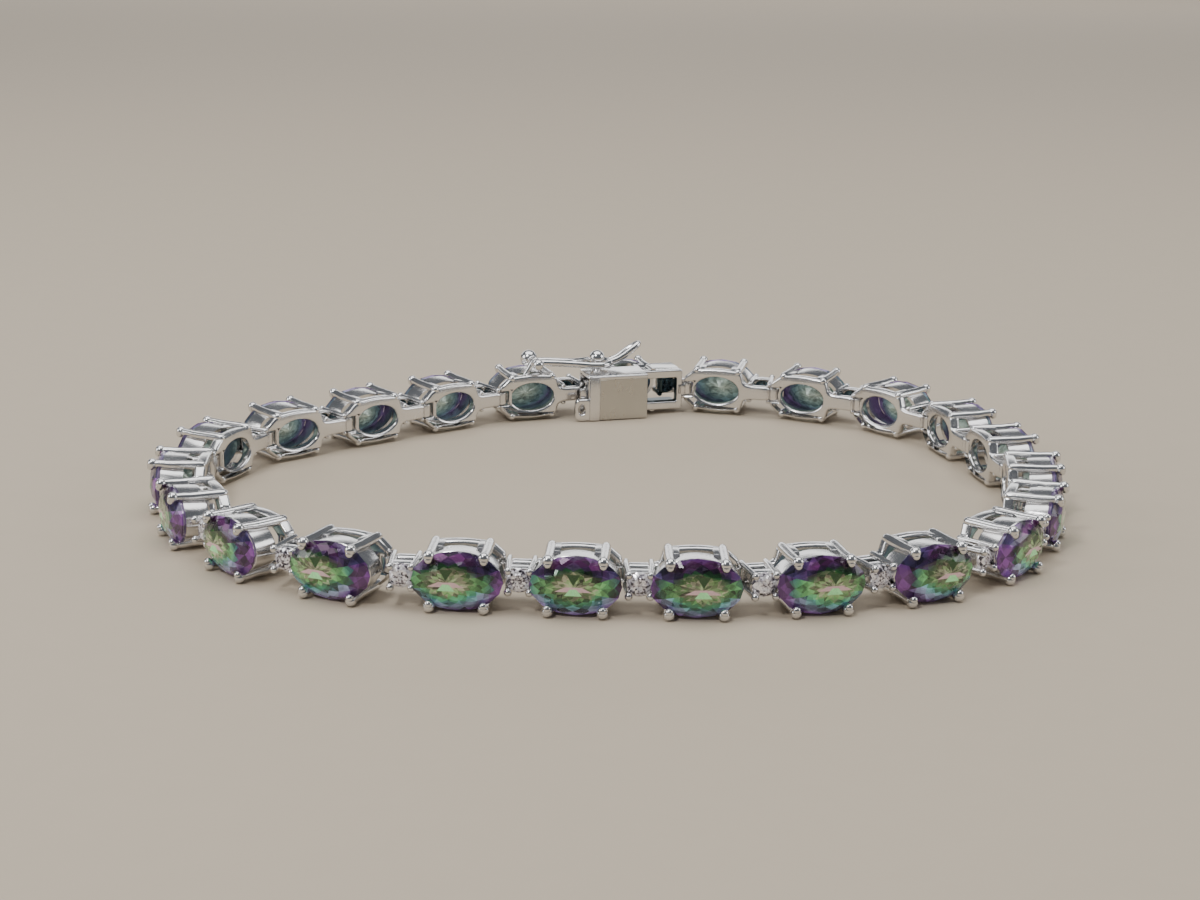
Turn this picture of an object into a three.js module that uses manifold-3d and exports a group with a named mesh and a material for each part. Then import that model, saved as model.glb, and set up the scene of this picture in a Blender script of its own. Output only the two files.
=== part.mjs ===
// Tennis bracelet: oval stones in claw settings, hinged to each other, with a box clasp and a safety catch.
// Millimetres, +Z up. It lies on its side edge with the stones facing outwards and the clasp towards +Y.
// A setting is drawn in its own frame: x runs clockwise along the bracelet, y outwards from the wrist,
// z up, and its origin is behind the middle of its stone, on the face that touches the wrist.
import * as THREE from "three";
import { mergeVertices } from "three/addons/utils/BufferGeometryUtils.js";
import Module from "manifold-3d";

const wasm = await Module();
wasm.setup();

// Oval stone
const STONE_LENGTH = 6.0;
const STONE_WIDTH = 4.0;
const CROWN_HEIGHT = 0.62;
const PAVILION_DEPTH = 2.1;
const GIRDLE_OUT = 3.5;
const TABLE_SHARE = 0.58;

// Claw setting of an oval stone
const CLAW_ALONG_SHARE = 0.5917;
const CLAW_ACROSS_SHARE = 0.815;
const CLAW_THICKNESS = 0.56;
const CLAW_NOTCHED = 0.26;
const CLAW_NOTCH_SHIFT = 0.2;
const CLAW_HEAD = 0.74;
const CLAW_HEAD_SHIFT = 0.11;
const CLAW_HEAD_OUT = 0.78;
const GALLERY_INSET = 0.14;
const GALLERY_WALL = 0.36;
const GALLERY_LOW = 1.6;
const GALLERY_HIGH = 2.9;

// Back plate with its oval window
const PLATE_THICKNESS = 0.8;
const WINDOW_LENGTH = 3.8;
const WINDOW_HEIGHT = 2.34;
const PLATE_END_WALL = 0.45;
const NECK_HALF_HEIGHT = 0.62;
const WINDOW_SIDES = 8;

// Small square setting with a round stone
const ACCENT_ALONG = 3.68;
const ACCENT_PITCH = 1.36;
const ACCENT_BAR = 0.24;
const ACCENT_OUT = 3.45;
const ACCENT_STONE_DIAMETER = 1.66;
const ACCENT_STONE_CROWN = 0.35;
const ACCENT_SEAT_LOW = 1.7;
const ACCENT_SEAT_HIGH = 2.85;
const ACCENT_STONE_SIDES = 8;

// Hinge between two settings
const HINGE_AHEAD = 4.95;
const HINGE_BEHIND = 2.65;
const HINGE_OUT = 0.5;
const PIN_RADIUS = 0.19;
const PIN_CLEARANCE = 0.11;
const EYELET_RADIUS = 0.46;
const EYELET_HEIGHT = 1.0;
const FORK_CLEARANCE = 0.1;
const EAR_REACH = 0.2;
const EAR_THICKNESS = 0.4;
const PIN_SIDES = 5;

// Clasp box, its window and its tongue
const BOX_HINGE_BEHIND = 4.05;
const BOX_HINGE_OUT = 0.9;
const BOX_LIP = 0.3;
const BOX_LENGTH = 5.2;
const BOX_INNER_FACE = -1.2;
const BOX_OUTER_FACE = 1.9;
const BOX_TOP = 1.85;
const BOX_WALL = 0.35;
const CLASP_STONE_LIFT = 0.62;
const FRAME_HALF_HEIGHT = 1.73;
const FRAME_RAIL = 0.55;
const FRAME_END_POST = 0.5;
const FRAME_WALL = 0.35;
const FRAME_DEPTH = 2.2;
const LUG_REACH = 1.2;
const LUG_HEIGHT = 1.95;
const LUG_CORNER = 0.6;
const LUG_THICKNESS = 0.5;
const LUG_HOLE_LENGTH = 0.56;
const LUG_HOLE_HEIGHT = 0.86;
const LUG_HOLE_UP = 1.05;
const LUG_HOLE_SIDES = 6;
const TONGUE_LEAF = 0.4;
const TONGUE_INNER_LEAF = -0.45;
const TONGUE_HALF_HEIGHT = 1.25;
const TONGUE_END_GAP = 0.45;
const THUMB_TAB = 0.55;
const THUMB_TAB_HALF_HEIGHT = 0.6;

// Safety catch and its knuckle on the last setting
const KNUCKLE_ALONG = 0.46;
const KNUCKLE_OUT = 1.15;
const KNUCKLE_UP = 2.75;
const KNUCKLE_FOOT_SPREAD = 0.8;
const KNUCKLE_WIRE = 0.4;
const KNUCKLE_CAP = 0.16;
const KNUCKLE_WEB = 0.35;
const KNUCKLE_RAIL_DEPTH = 0.3;
const KNUCKLE_RAIL_HEIGHT = 0.45;
const KNUCKLE_PIN_RADIUS = 0.18;
const KNUCKLE_BALL_RADIUS = 0.72;
const KNUCKLE_KNOB_RADIUS = 0.46;
const CATCH_EYELET_RADIUS = 0.42;
const CATCH_EYELET_WIDTH = 0.3;
const CATCH_CLEARANCE = 0.09;
const CATCH_REACH = 5.7;
const CATCH_WIRE_RADIUS = 0.3;
const CATCH_BALL_RADIUS = 0.68;
const CATCH_POST_RADIUS = 0.32;
const CATCH_DROP = 0.4;
const CATCH_LOOP_CLEARANCE = 0.16;
const CATCH_TAIL = 0.08;
const LOOP_SHOULDER = 0.7;
const LOOP_NECK = 0.86;
const GRIP_LENGTH = 2.7;
const GRIP_RISE = 1.6;
const GRIP_HALF_WIDTH = 0.36;

// One side of the catch's wire before its loop: shares of its reach, of its eyelets' spacing and of its drop
const CATCH_SIDE = [[0.25, 1.08, 0.2], [0.62, 1.25, 0.75]];
// One side of the grip: shares of its length, of its half width and of its rise
const GRIP_SIDE = [[0, 0.6, 0], [0.35, 1, 0.22], [0.75, 1, 0.68]];

// Heading of each setting in degrees, clockwise round the loop from the clasp, and of the clasp itself
const HEADINGS = [
  -11.5, -23.5, -46.5, -71.5, -77, -94.5, -106.5, -131, -155.5, -167, -179,
  -183, -184, -204, -227, -246.5, -268.5, -294, -319, -320.5, -323, -339,
];
const CLASP_HEADING = -342.5;
const CLOSING_ROUNDS = 20;

const ROUND_SIDES = 10;
const BALL_RINGS = 5;
const EYELET_SIDES = 8;
const BORE_SIDES = 6;
const STONE_SIDES = 10;
const GALLERY_SIDES = 8;
const WIRE_SIDES = 5;
const WIRE_STEPS = 1.5;

// Depth that shapes of one casting run into each other, the smaller step that keeps their faces out of one
// plane, and how far a cutter runs past what it cuts
const FUSE = 0.1;
const STEP = 0.03;
const CUT = 1;

// Spacing of the claws round the stone, the height of the stones' middles, and the step from link to link
const CLAW_ALONG = STONE_LENGTH * CLAW_ALONG_SHARE;
const CLAW_ACROSS = STONE_WIDTH * CLAW_ACROSS_SHARE;
const MID_HEIGHT = CLAW_ACROSS / 2 + CLAW_HEAD_SHIFT + CLAW_HEAD / 2;
const PITCH = HINGE_AHEAD + HINGE_BEHIND;

const silver = new THREE.MeshStandardMaterial({ color: 0xd8dadd, roughness: 0.18, metalness: 1.0 });
const rainbowStone = new THREE.MeshStandardMaterial({ color: 0x6d4f86, roughness: 0.06, metalness: 0.2 });

// Closed solid from a three.js geometry, with its shared vertices merged and its faces pointing out
function solid(geometry) {
  const bare = geometry.clone();
  bare.deleteAttribute("normal");
  bare.deleteAttribute("uv");
  const merged = mergeVertices(bare, 1e-4);
  const corner = merged.index.array;
  const point = merged.attributes.position;
  const [a, b, c] = [new THREE.Vector3(), new THREE.Vector3(), new THREE.Vector3()];
  const kept = [];
  let volume = 0;
  for (let i = 0; i < corner.length; i += 3) {
    const [p, q, r] = [corner[i], corner[i + 1], corner[i + 2]];
    if (p === q || q === r || r === p) continue;
    kept.push(p, q, r);
    a.fromBufferAttribute(point, p);
    b.fromBufferAttribute(point, q);
    c.fromBufferAttribute(point, r);
    volume += a.dot(b.cross(c));
  }
  if (volume < 0) kept.reverse();
  const vertProperties = Float32Array.from(point.array);
  return new wasm.Manifold(new wasm.Mesh({ numProp: 3, vertProperties, triVerts: Uint32Array.from(kept) }));
}

function joined(pieces) {
  return pieces.reduce((whole, piece) => whole.add(piece));
}

// Mesh geometry of a finished solid
function geometryOf(shape) {
  const mesh = shape.getMesh();
  const geometry = new THREE.BufferGeometry();
  geometry.setAttribute("position", new THREE.BufferAttribute(Float32Array.from(mesh.vertProperties), 3));
  geometry.setIndex(new THREE.BufferAttribute(Uint32Array.from(mesh.triVerts), 1));
  geometry.computeVertexNormals();
  return geometry;
}

function block([x0, x1], [y0, y1], [z0, z1]) {
  const box = new THREE.BoxGeometry(x1 - x0, y1 - y0, z1 - z0);
  return solid(box.translate((x0 + x1) / 2, (y0 + y1) / 2, (z0 + z1) / 2));
}

// Points of an oval; a power above 2 squares its shoulders
function oval(halfLength, halfHeight, count, power = 2, turn = 0) {
  const bent = (value) => Math.sign(value) * Math.abs(value) ** (2 / power);
  return Array.from({ length: count }, (_, i) => {
    const angle = turn + (i * 2 * Math.PI) / count;
    return new THREE.Vector2(halfLength * bent(Math.cos(angle)), halfHeight * bent(Math.sin(angle)));
  });
}

function disc(radius, sides, x, y) {
  return oval(radius, radius, sides).map((point) => new THREE.Vector2(point.x + x, point.y + y));
}

// Outline in x and y, standing up from z0 to z1
function prism(outline, hole, [z0, z1]) {
  const shape = new THREE.Shape(outline);
  if (hole) shape.holes.push(new THREE.Path(hole));
  const geometry = new THREE.ExtrudeGeometry(shape, { depth: z1 - z0, bevelEnabled: false });
  return solid(geometry.translate(0, 0, z0));
}

// Outline in x and z, running outwards from y0 to y1
function slab(outline, hole, [y0, y1]) {
  const shape = new THREE.Shape(outline);
  if (hole) shape.holes.push(new THREE.Path(hole));
  const geometry = new THREE.ExtrudeGeometry(shape, { depth: y1 - y0, bevelEnabled: false });
  return solid(geometry.rotateX(Math.PI / 2).translate(0, y1, 0));
}

// Square rod that runs outwards through the given sections, each with its middle and its width
function rod(sections) {
  const corners = [[-1, -1], [1, -1], [1, 1], [-1, 1]];
  const count = corners.length;
  const points = sections.flatMap(({ x, y, z, width }) => (
    corners.flatMap(([a, b]) => [x + (a * width) / 2, y, z + (b * width) / 2])
  ));
  const faces = [0, 1, 2, 0, 2, 3];
  for (let ring = 0; ring < sections.length - 1; ring += 1) {
    for (let side = 0; side < count; side += 1) {
      const [a, b] = [ring * count + side, ring * count + ((side + 1) % count)];
      faces.push(a, a + count, b, b, a + count, b + count);
    }
  }
  const last = (sections.length - 1) * count;
  faces.push(last, last + 2, last + 1, last, last + 3, last + 2);
  const geometry = new THREE.BufferGeometry();
  geometry.setAttribute("position", new THREE.Float32BufferAttribute(points, 3));
  geometry.setIndex(faces);
  return solid(geometry);
}

function ball(radius, x, y, z) {
  const sphere = new THREE.SphereGeometry(radius, ROUND_SIDES, BALL_RINGS).rotateX(Math.PI / 2);
  return solid(sphere.translate(x, y, z));
}

function wire(points, radius) {
  const path = new THREE.CatmullRomCurve3(points, false, "centripetal");
  const section = new THREE.Shape(oval(radius, radius, WIRE_SIDES));
  const steps = Math.round(points.length * WIRE_STEPS);
  return solid(new THREE.ExtrudeGeometry(section, { steps, bevelEnabled: false, extrudePath: path }));
}

// Oval stone: culet, pavilion, girdle, crown and table
function stoneSolid() {
  const profile = [
    new THREE.Vector2(0, -PAVILION_DEPTH),
    new THREE.Vector2(1, 0),
    new THREE.Vector2(TABLE_SHARE, CROWN_HEIGHT),
    new THREE.Vector2(0, CROWN_HEIGHT),
  ];
  const stone = new THREE.LatheGeometry(profile, STONE_SIDES, Math.PI / STONE_SIDES);
  return solid(stone.scale(STONE_LENGTH / 2, 1, STONE_WIDTH / 2).translate(0, GIRDLE_OUT, 0));
}

// One claw: a bar that steps aside for the stone's girdle and ends in a head over its crown
function claw(along, across, from) {
  const [x, z] = [(along * CLAW_ALONG) / 2, (across * CLAW_ACROSS) / 2];
  const section = (y, shift, width) => ({ x: x + along * shift, y, z: z + across * shift, width });
  const head = GIRDLE_OUT + CLAW_HEAD_OUT;
  return rod([
    section(from, 0, CLAW_THICKNESS),
    section(GALLERY_HIGH, 0, CLAW_THICKNESS),
    section(GIRDLE_OUT, CLAW_NOTCH_SHIFT, CLAW_NOTCHED),
    section(head, CLAW_HEAD_SHIFT, CLAW_HEAD),
  ]);
}

// Four claws that start at the given height, and the gallery rail under the stone
function clawSetting(from) {
  const pieces = [[-1, -1], [-1, 1], [1, -1], [1, 1]].map(([along, across]) => claw(along, across, from));
  const [halfLength, halfWidth] = [STONE_LENGTH / 2 - GALLERY_INSET, STONE_WIDTH / 2 - GALLERY_INSET];
  const turn = Math.PI / GALLERY_SIDES;
  const outer = oval(halfLength, halfWidth, GALLERY_SIDES, 2, turn);
  const inner = oval(halfLength - GALLERY_WALL, halfWidth - GALLERY_WALL, GALLERY_SIDES, 2, turn);
  pieces.push(slab(outer, inner, [GALLERY_LOW, GALLERY_HIGH - STEP]));
  return joined(pieces);
}

// Small square setting: two cross walls, a seat, four claws and the fused crown of its round stone
function accentSetting() {
  const half = ACCENT_PITCH / 2 + ACCENT_BAR / 2;
  const span = [STEP - NECK_HALF_HEIGHT, NECK_HALF_HEIGHT - STEP];
  const seatAlong = [ACCENT_ALONG - half - STEP, ACCENT_ALONG + half + STEP];
  const pieces = [block(seatAlong, [ACCENT_SEAT_LOW, ACCENT_SEAT_HIGH], [-half - STEP, half + STEP])];
  for (const along of [-1, 1]) {
    const x = ACCENT_ALONG + (along * ACCENT_PITCH) / 2;
    const wall = [x - ACCENT_BAR / 2, x + ACCENT_BAR / 2];
    pieces.push(block(wall, [PLATE_THICKNESS / 2, ACCENT_SEAT_LOW + 2 * FUSE], span));
    for (const across of [-1, 1]) {
      const edge = [across * ACCENT_PITCH / 2 - ACCENT_BAR / 2, across * ACCENT_PITCH / 2 + ACCENT_BAR / 2];
      pieces.push(block(wall, [ACCENT_SEAT_HIGH - 2 * FUSE, ACCENT_OUT], edge));
    }
  }
  const radius = ACCENT_STONE_DIAMETER / 2;
  const profile = [
    new THREE.Vector2(0, ACCENT_SEAT_HIGH - FUSE),
    new THREE.Vector2(radius, ACCENT_SEAT_HIGH - FUSE),
    new THREE.Vector2(radius * TABLE_SHARE, ACCENT_SEAT_HIGH + ACCENT_STONE_CROWN),
    new THREE.Vector2(0, ACCENT_SEAT_HIGH + ACCENT_STONE_CROWN),
  ];
  const stone = new THREE.LatheGeometry(profile, ACCENT_STONE_SIDES, Math.PI / ACCENT_STONE_SIDES);
  pieces.push(solid(stone.translate(ACCENT_ALONG, 0, 0)));
  return joined(pieces);
}

// Eyelet at the clockwise end
function eyelet() {
  const bore = PIN_RADIUS + PIN_CLEARANCE;
  const ring = disc(EYELET_RADIUS, EYELET_SIDES, HINGE_AHEAD, HINGE_OUT);
  const hole = disc(bore, BORE_SIDES, HINGE_AHEAD, HINGE_OUT);
  return prism(ring, hole, [-EYELET_HEIGHT / 2, EYELET_HEIGHT / 2]);
}

// Heights of the fork's ears above and below the eyelet between them
const EAR_LOW = EYELET_HEIGHT / 2 + FORK_CLEARANCE;
const EAR_HIGH = EAR_LOW + EAR_THICKNESS;

function hingePin(x, y) {
  const length = EAR_HIGH - STEP;
  return prism(disc(PIN_RADIUS, PIN_SIDES, x, y), null, [-length, length]);
}

// Right half of an outline that is mirrored across z = 0, as points from its clockwise end backwards
function mirrored(half) {
  const back = half.slice().reverse().map(([x, z]) => [x, -z]);
  return [...half, ...back].map(([x, z]) => new THREE.Vector2(x, z));
}

// Neck that carries the small setting and reaches into the eyelet
function neckOutline() {
  const accentHalf = ACCENT_PITCH / 2 + ACCENT_BAR / 2 + STEP;
  const neckEnd = HINGE_AHEAD - PIN_RADIUS - PIN_CLEARANCE - STEP;
  return [[neckEnd, EYELET_HEIGHT / 2], [ACCENT_ALONG + accentHalf, NECK_HALF_HEIGHT]];
}

// Back plate: window, neck, claw corners, and the fork's ears with a slot for the neighbour's eyelet
function backPlate() {
  const end = WINDOW_LENGTH / 2 + PLATE_END_WALL;
  const cornerX = CLAW_ALONG / 2 + CLAW_THICKNESS / 2 + STEP;
  const cornerZ = CLAW_ACROSS / 2 + CLAW_THICKNESS / 2 + STEP;
  const slotEnd = EYELET_RADIUS + FORK_CLEARANCE - HINGE_BEHIND;
  const outline = mirrored([
    ...neckOutline(), [end, NECK_HALF_HEIGHT], [cornerX, cornerZ], [-cornerX, cornerZ],
    [-HINGE_BEHIND - EAR_REACH, EAR_HIGH], [-HINGE_BEHIND - EAR_REACH, EAR_LOW], [slotEnd, EAR_LOW],
  ]);
  const turn = Math.PI / WINDOW_SIDES;
  const window = oval(WINDOW_LENGTH / 2, WINDOW_HEIGHT / 2, WINDOW_SIDES, 2, turn);
  return slab(outline, window, [0, PLATE_THICKNESS]);
}

function linkSolid() {
  return joined([
    backPlate(), clawSetting(PLATE_THICKNESS / 2), accentSetting(), eyelet(),
    hingePin(-HINGE_BEHIND, HINGE_OUT),
  ]);
}

// Knuckle on the last setting: two feet, a cross pin, a ball at its outer end and a knob at its inner end
function knuckleSolid() {
  const foot = CLAW_ACROSS / 2;
  const half = KNUCKLE_WIRE / 2;
  const top = KNUCKLE_UP + KNUCKLE_PIN_RADIUS + KNUCKLE_CAP;
  const outline = [
    [-KNUCKLE_FOOT_SPREAD - half, foot], [-KNUCKLE_FOOT_SPREAD + half, foot], [0, KNUCKLE_UP - KNUCKLE_WEB],
    [KNUCKLE_FOOT_SPREAD - half, foot], [KNUCKLE_FOOT_SPREAD + half, foot], [half, top], [-half, top],
  ].map(([x, z]) => new THREE.Vector2(KNUCKLE_ALONG + x, z));
  const bracket = slab(outline, null, [KNUCKLE_OUT - half, KNUCKLE_OUT + half]);
  const rail = block(
    [KNUCKLE_ALONG - KNUCKLE_FOOT_SPREAD - half, KNUCKLE_ALONG + KNUCKLE_FOOT_SPREAD + half],
    [PLATE_THICKNESS - KNUCKLE_RAIL_DEPTH, KNUCKLE_OUT + half],
    [foot + FUSE - KNUCKLE_RAIL_HEIGHT, foot + FUSE],
  );
  const eyeletEnd = half + 2 * CATCH_CLEARANCE + CATCH_EYELET_WIDTH;
  const ballOut = KNUCKLE_OUT + eyeletEnd + KNUCKLE_BALL_RADIUS;
  const knobOut = KNUCKLE_OUT - eyeletEnd - KNUCKLE_KNOB_RADIUS;
  const pin = slab(
    disc(KNUCKLE_PIN_RADIUS, EYELET_SIDES, KNUCKLE_ALONG, KNUCKLE_UP),
    null, [knobOut, ballOut],
  );
  return joined([
    bracket, rail, pin,
    ball(KNUCKLE_BALL_RADIUS, KNUCKLE_ALONG, ballOut, KNUCKLE_UP),
    ball(KNUCKLE_KNOB_RADIUS, KNUCKLE_ALONG, knobOut, KNUCKLE_UP),
  ]);
}

// Wire catch in the frame of the last setting: two eyelets on the cross pin, a loop that goes round the
// ball on the box, and a smaller grip loop bent up beyond it
function catchSolid() {
  const eyeletMid = KNUCKLE_WIRE / 2 + CATCH_CLEARANCE + CATCH_EYELET_WIDTH / 2;
  const loopHalf = CATCH_BALL_RADIUS + CATCH_LOOP_CLEARANCE + CATCH_WIRE_RADIUS;
  const drop = (share) => KNUCKLE_UP - CATCH_DROP * share;
  const at = (x, y, z) => new THREE.Vector3(KNUCKLE_ALONG + x, KNUCKLE_OUT + y, z);
  const reach = CATCH_REACH;
  const side = (sign) => [
    at(CATCH_EYELET_RADIUS - CATCH_TAIL, sign * eyeletMid, drop(0)),
    ...CATCH_SIDE.map(([along, across, down]) => at(reach * along, sign * eyeletMid * across, drop(down))),
    at(reach * LOOP_NECK, sign * loopHalf * LOOP_NECK, drop(1)),
    at(reach, sign * loopHalf, drop(1)),
    at(reach + loopHalf * LOOP_SHOULDER, sign * loopHalf * LOOP_SHOULDER, drop(1)),
  ];
  const tip = at(reach + loopHalf, 0, drop(1));
  const loop = wire([...side(-1), tip, ...side(1).reverse()], CATCH_WIRE_RADIUS);
  const gripStart = reach + loopHalf - FUSE;
  const gripSide = (sign) => GRIP_SIDE.map(([along, across, up]) => (
    at(gripStart + GRIP_LENGTH * along, sign * GRIP_HALF_WIDTH * across, drop(1) + GRIP_RISE * up)
  ));
  const gripTip = at(gripStart + GRIP_LENGTH, 0, drop(1) + GRIP_RISE);
  const grip = wire([...gripSide(-1), gripTip, ...gripSide(1).reverse()], CATCH_WIRE_RADIUS);
  const bore = KNUCKLE_PIN_RADIUS + CATCH_CLEARANCE;
  const eyelets = [-1, 1].map((sign) => {
    const middle = KNUCKLE_OUT + sign * eyeletMid;
    const ring = disc(CATCH_EYELET_RADIUS, EYELET_SIDES, KNUCKLE_ALONG, KNUCKLE_UP);
    const hole = disc(bore, BORE_SIDES, KNUCKLE_ALONG, KNUCKLE_UP);
    return slab(ring, hole, [middle - CATCH_EYELET_WIDTH / 2, middle + CATCH_EYELET_WIDTH / 2]);
  });
  return joined([loop, grip, ...eyelets]);
}

// Lug at the lower corner of the box's mouth, rounded at its free end, with an oval hole
function mouthLug(mouth, bottom) {
  const outline = [
    [mouth + FUSE, bottom + STEP], [mouth - LUG_REACH + LUG_CORNER, bottom + STEP],
    [mouth - LUG_REACH, bottom + LUG_CORNER], [mouth - LUG_REACH, bottom + LUG_HEIGHT - LUG_CORNER / 2],
    [mouth - LUG_REACH + LUG_CORNER / 2, bottom + LUG_HEIGHT], [mouth + FUSE, bottom + LUG_HEIGHT],
  ].map(([x, z]) => new THREE.Vector2(x, z));
  const hole = oval(LUG_HOLE_LENGTH / 2, LUG_HOLE_HEIGHT / 2, LUG_HOLE_SIDES);
  const middle = new THREE.Vector2(mouth - LUG_REACH / 2, bottom + LUG_HOLE_UP);
  const low = BOX_INNER_FACE + FUSE;
  return slab(outline, hole.map((point) => point.add(middle)), [low, low + LUG_THICKNESS]);
}

// Clasp box: an open-mouthed box with its lug, a window frame with deep walls beside it, the stone's claws
// and gallery, the small setting, the eyelet and the ball that the safety catch closes over
function claspBoxSolid(catchBall) {
  const mouth = -BOX_HINGE_BEHIND - BOX_LIP;
  const end = mouth + BOX_LENGTH;
  const bottom = -MID_HEIGHT;
  const shell = block([mouth, end], [BOX_INNER_FACE, BOX_OUTER_FACE], [bottom, BOX_TOP]);
  const hollow = block(
    [mouth - CUT, end - BOX_WALL], [BOX_INNER_FACE + BOX_WALL, BOX_OUTER_FACE - BOX_WALL],
    [bottom + BOX_WALL, BOX_TOP - BOX_WALL],
  );
  const frameEnd = ACCENT_ALONG + ACCENT_PITCH / 2;
  const frame = block([end - FUSE, frameEnd], [0, PLATE_THICKNESS], [-FRAME_HALF_HEIGHT, FRAME_HALF_HEIGHT]);
  const opening = FRAME_HALF_HEIGHT - FRAME_RAIL;
  const window = block([end, frameEnd - FRAME_END_POST], [-CUT, PLATE_THICKNESS + CUT], [-opening, opening]);
  const walls = [-1, 1].map((across) => {
    const [near, far] = [FRAME_HALF_HEIGHT - FRAME_WALL, FRAME_HALF_HEIGHT - STEP].map((z) => across * z);
    const span = [Math.min(near, far), Math.max(near, far)];
    return block([end - FUSE, frameEnd - STEP], [PLATE_THICKNESS - FUSE, FRAME_DEPTH], span);
  });
  const settings = clawSetting(BOX_OUTER_FACE - CLASP_STONE_LIFT - FUSE).translate([0, CLASP_STONE_LIFT, 0]);
  const feet = [-1, 1].map((across) => {
    const half = CLAW_THICKNESS / 2;
    const [x, z] = [CLAW_ALONG / 2, (across * CLAW_ACROSS) / 2];
    return block([x - half, x + half], [0, BOX_OUTER_FACE], [z - half, z + half]);
  });
  const postLow = BOX_TOP - FUSE;
  const post = prism(
    disc(CATCH_POST_RADIUS, EYELET_SIDES, catchBall.x, catchBall.y), null, [postLow, catchBall.z],
  );
  const neckRoot = [frameEnd - FRAME_END_POST, EYELET_HEIGHT / 2];
  const neck = slab(mirrored([...neckOutline(), neckRoot]), null, [0, PLATE_THICKNESS]);
  return joined([
    shell.subtract(hollow), mouthLug(mouth, bottom), frame.subtract(window), ...walls, settings, ...feet,
    accentSetting(), neck, eyelet(), post, ball(CATCH_BALL_RADIUS, catchBall.x, catchBall.y, catchBall.z),
  ]);
}

// Tongue: a fork on the last setting's eyelet and a strip folded back on itself inside the box
function tongueSolid() {
  const root = EYELET_RADIUS + FORK_CLEARANCE - BOX_HINGE_BEHIND;
  const height = [-TONGUE_HALF_HEIGHT, TONGUE_HALF_HEIGHT];
  const outerLeaf = [BOX_HINGE_OUT - TONGUE_LEAF / 2, BOX_HINGE_OUT + TONGUE_LEAF / 2];
  const innerLeaf = [TONGUE_INNER_LEAF, TONGUE_INNER_LEAF + TONGUE_LEAF];
  const mouth = -BOX_HINGE_BEHIND - BOX_LIP;
  const tip = mouth + BOX_LENGTH - BOX_WALL - TONGUE_END_GAP;
  const tab = [mouth - THUMB_TAB, mouth + BOX_WALL + FUSE];
  const ear = [-BOX_HINGE_BEHIND - EAR_REACH, root + 2 * FUSE];
  const fork = [[EAR_LOW, EAR_HIGH], [-EAR_HIGH, -EAR_LOW]].map((span) => (
    block(ear, [BOX_HINGE_OUT - EAR_REACH - FUSE, BOX_HINGE_OUT + EAR_REACH + FUSE], span)
  ));
  return joined([
    block([root, tip], outerLeaf, height),
    block([tip - TONGUE_LEAF, tip], [innerLeaf[0], outerLeaf[1]], height),
    block([mouth + BOX_WALL, tip], innerLeaf, height),
    block(tab, innerLeaf, [-THUMB_TAB_HALF_HEIGHT, THUMB_TAB_HALF_HEIGHT]),
    ...fork, hingePin(-BOX_HINGE_BEHIND, BOX_HINGE_OUT),
  ]);
}

// Headings bent by the smallest sway that closes the loop: the settings' pitches and the clasp's own
// hinge-to-hinge step add up to nothing
function closedHeadings() {
  const base = HEADINGS.map(THREE.MathUtils.degToRad);
  const clasp = THREE.MathUtils.degToRad(CLASP_HEADING);
  const step = new THREE.Vector2(HINGE_AHEAD + BOX_HINGE_BEHIND, HINGE_OUT - BOX_HINGE_OUT);
  step.rotateAround(new THREE.Vector2(), clasp);
  let [swayX, swayY] = [0, 0];
  const bent = () => base.map((angle) => angle + swayX * Math.cos(angle) + swayY * Math.sin(angle));
  for (let round = 0; round < CLOSING_ROUNDS; round += 1) {
    const gap = step.clone();
    let [xx, xy, yx, yy] = [0, 0, 0, 0];
    bent().forEach((angle, i) => {
      gap.x += PITCH * Math.cos(angle);
      gap.y += PITCH * Math.sin(angle);
      xx -= PITCH * Math.sin(angle) * Math.cos(base[i]);
      xy -= PITCH * Math.sin(angle) * Math.sin(base[i]);
      yx += PITCH * Math.cos(angle) * Math.cos(base[i]);
      yy += PITCH * Math.cos(angle) * Math.sin(base[i]);
    });
    const scale = xx * yy - xy * yx;
    swayX -= (yy * gap.x - xy * gap.y) / scale;
    swayY -= (xx * gap.y - yx * gap.x) / scale;
  }
  return { links: bent(), clasp };
}

// Group whose frame is a setting's own, with the hinge behind it at the given point
function settingGroup(hinge, angle, behind, out) {
  const group = new THREE.Group();
  const offset = new THREE.Vector2(-behind, out).rotateAround(new THREE.Vector2(), angle);
  group.position.set(hinge.x - offset.x, hinge.y - offset.y, MID_HEIGHT);
  group.rotation.z = angle;
  group.updateMatrixWorld(true);
  return group;
}

function addPiece(group, name, geometry, material) {
  const mesh = new THREE.Mesh(geometry, material.clone());
  mesh.name = name;
  group.add(mesh);
}

const bracelet = new THREE.Group();
const headings = closedHeadings();
const link = linkSolid();
const linkGeometry = geometryOf(link);
const stoneGeometry = geometryOf(stoneSolid());
const lastIndex = headings.links.length - 1;
const hinge = new THREE.Vector2(0, 0);
let lastSetting;
headings.links.forEach((angle, i) => {
  const setting = settingGroup(hinge, angle, HINGE_BEHIND, HINGE_OUT);
  const number = String(i + 1).padStart(2, "0");
  const geometry = i === lastIndex ? geometryOf(link.add(knuckleSolid())) : linkGeometry;
  addPiece(setting, `link_${number}`, geometry, silver);
  addPiece(setting, `stone_${number}`, stoneGeometry, rainbowStone);
  bracelet.add(setting);
  hinge.x += PITCH * Math.cos(angle);
  hinge.y += PITCH * Math.sin(angle);
  lastSetting = setting;
});
addPiece(lastSetting, "safety_catch", geometryOf(catchSolid()), silver);

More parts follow.
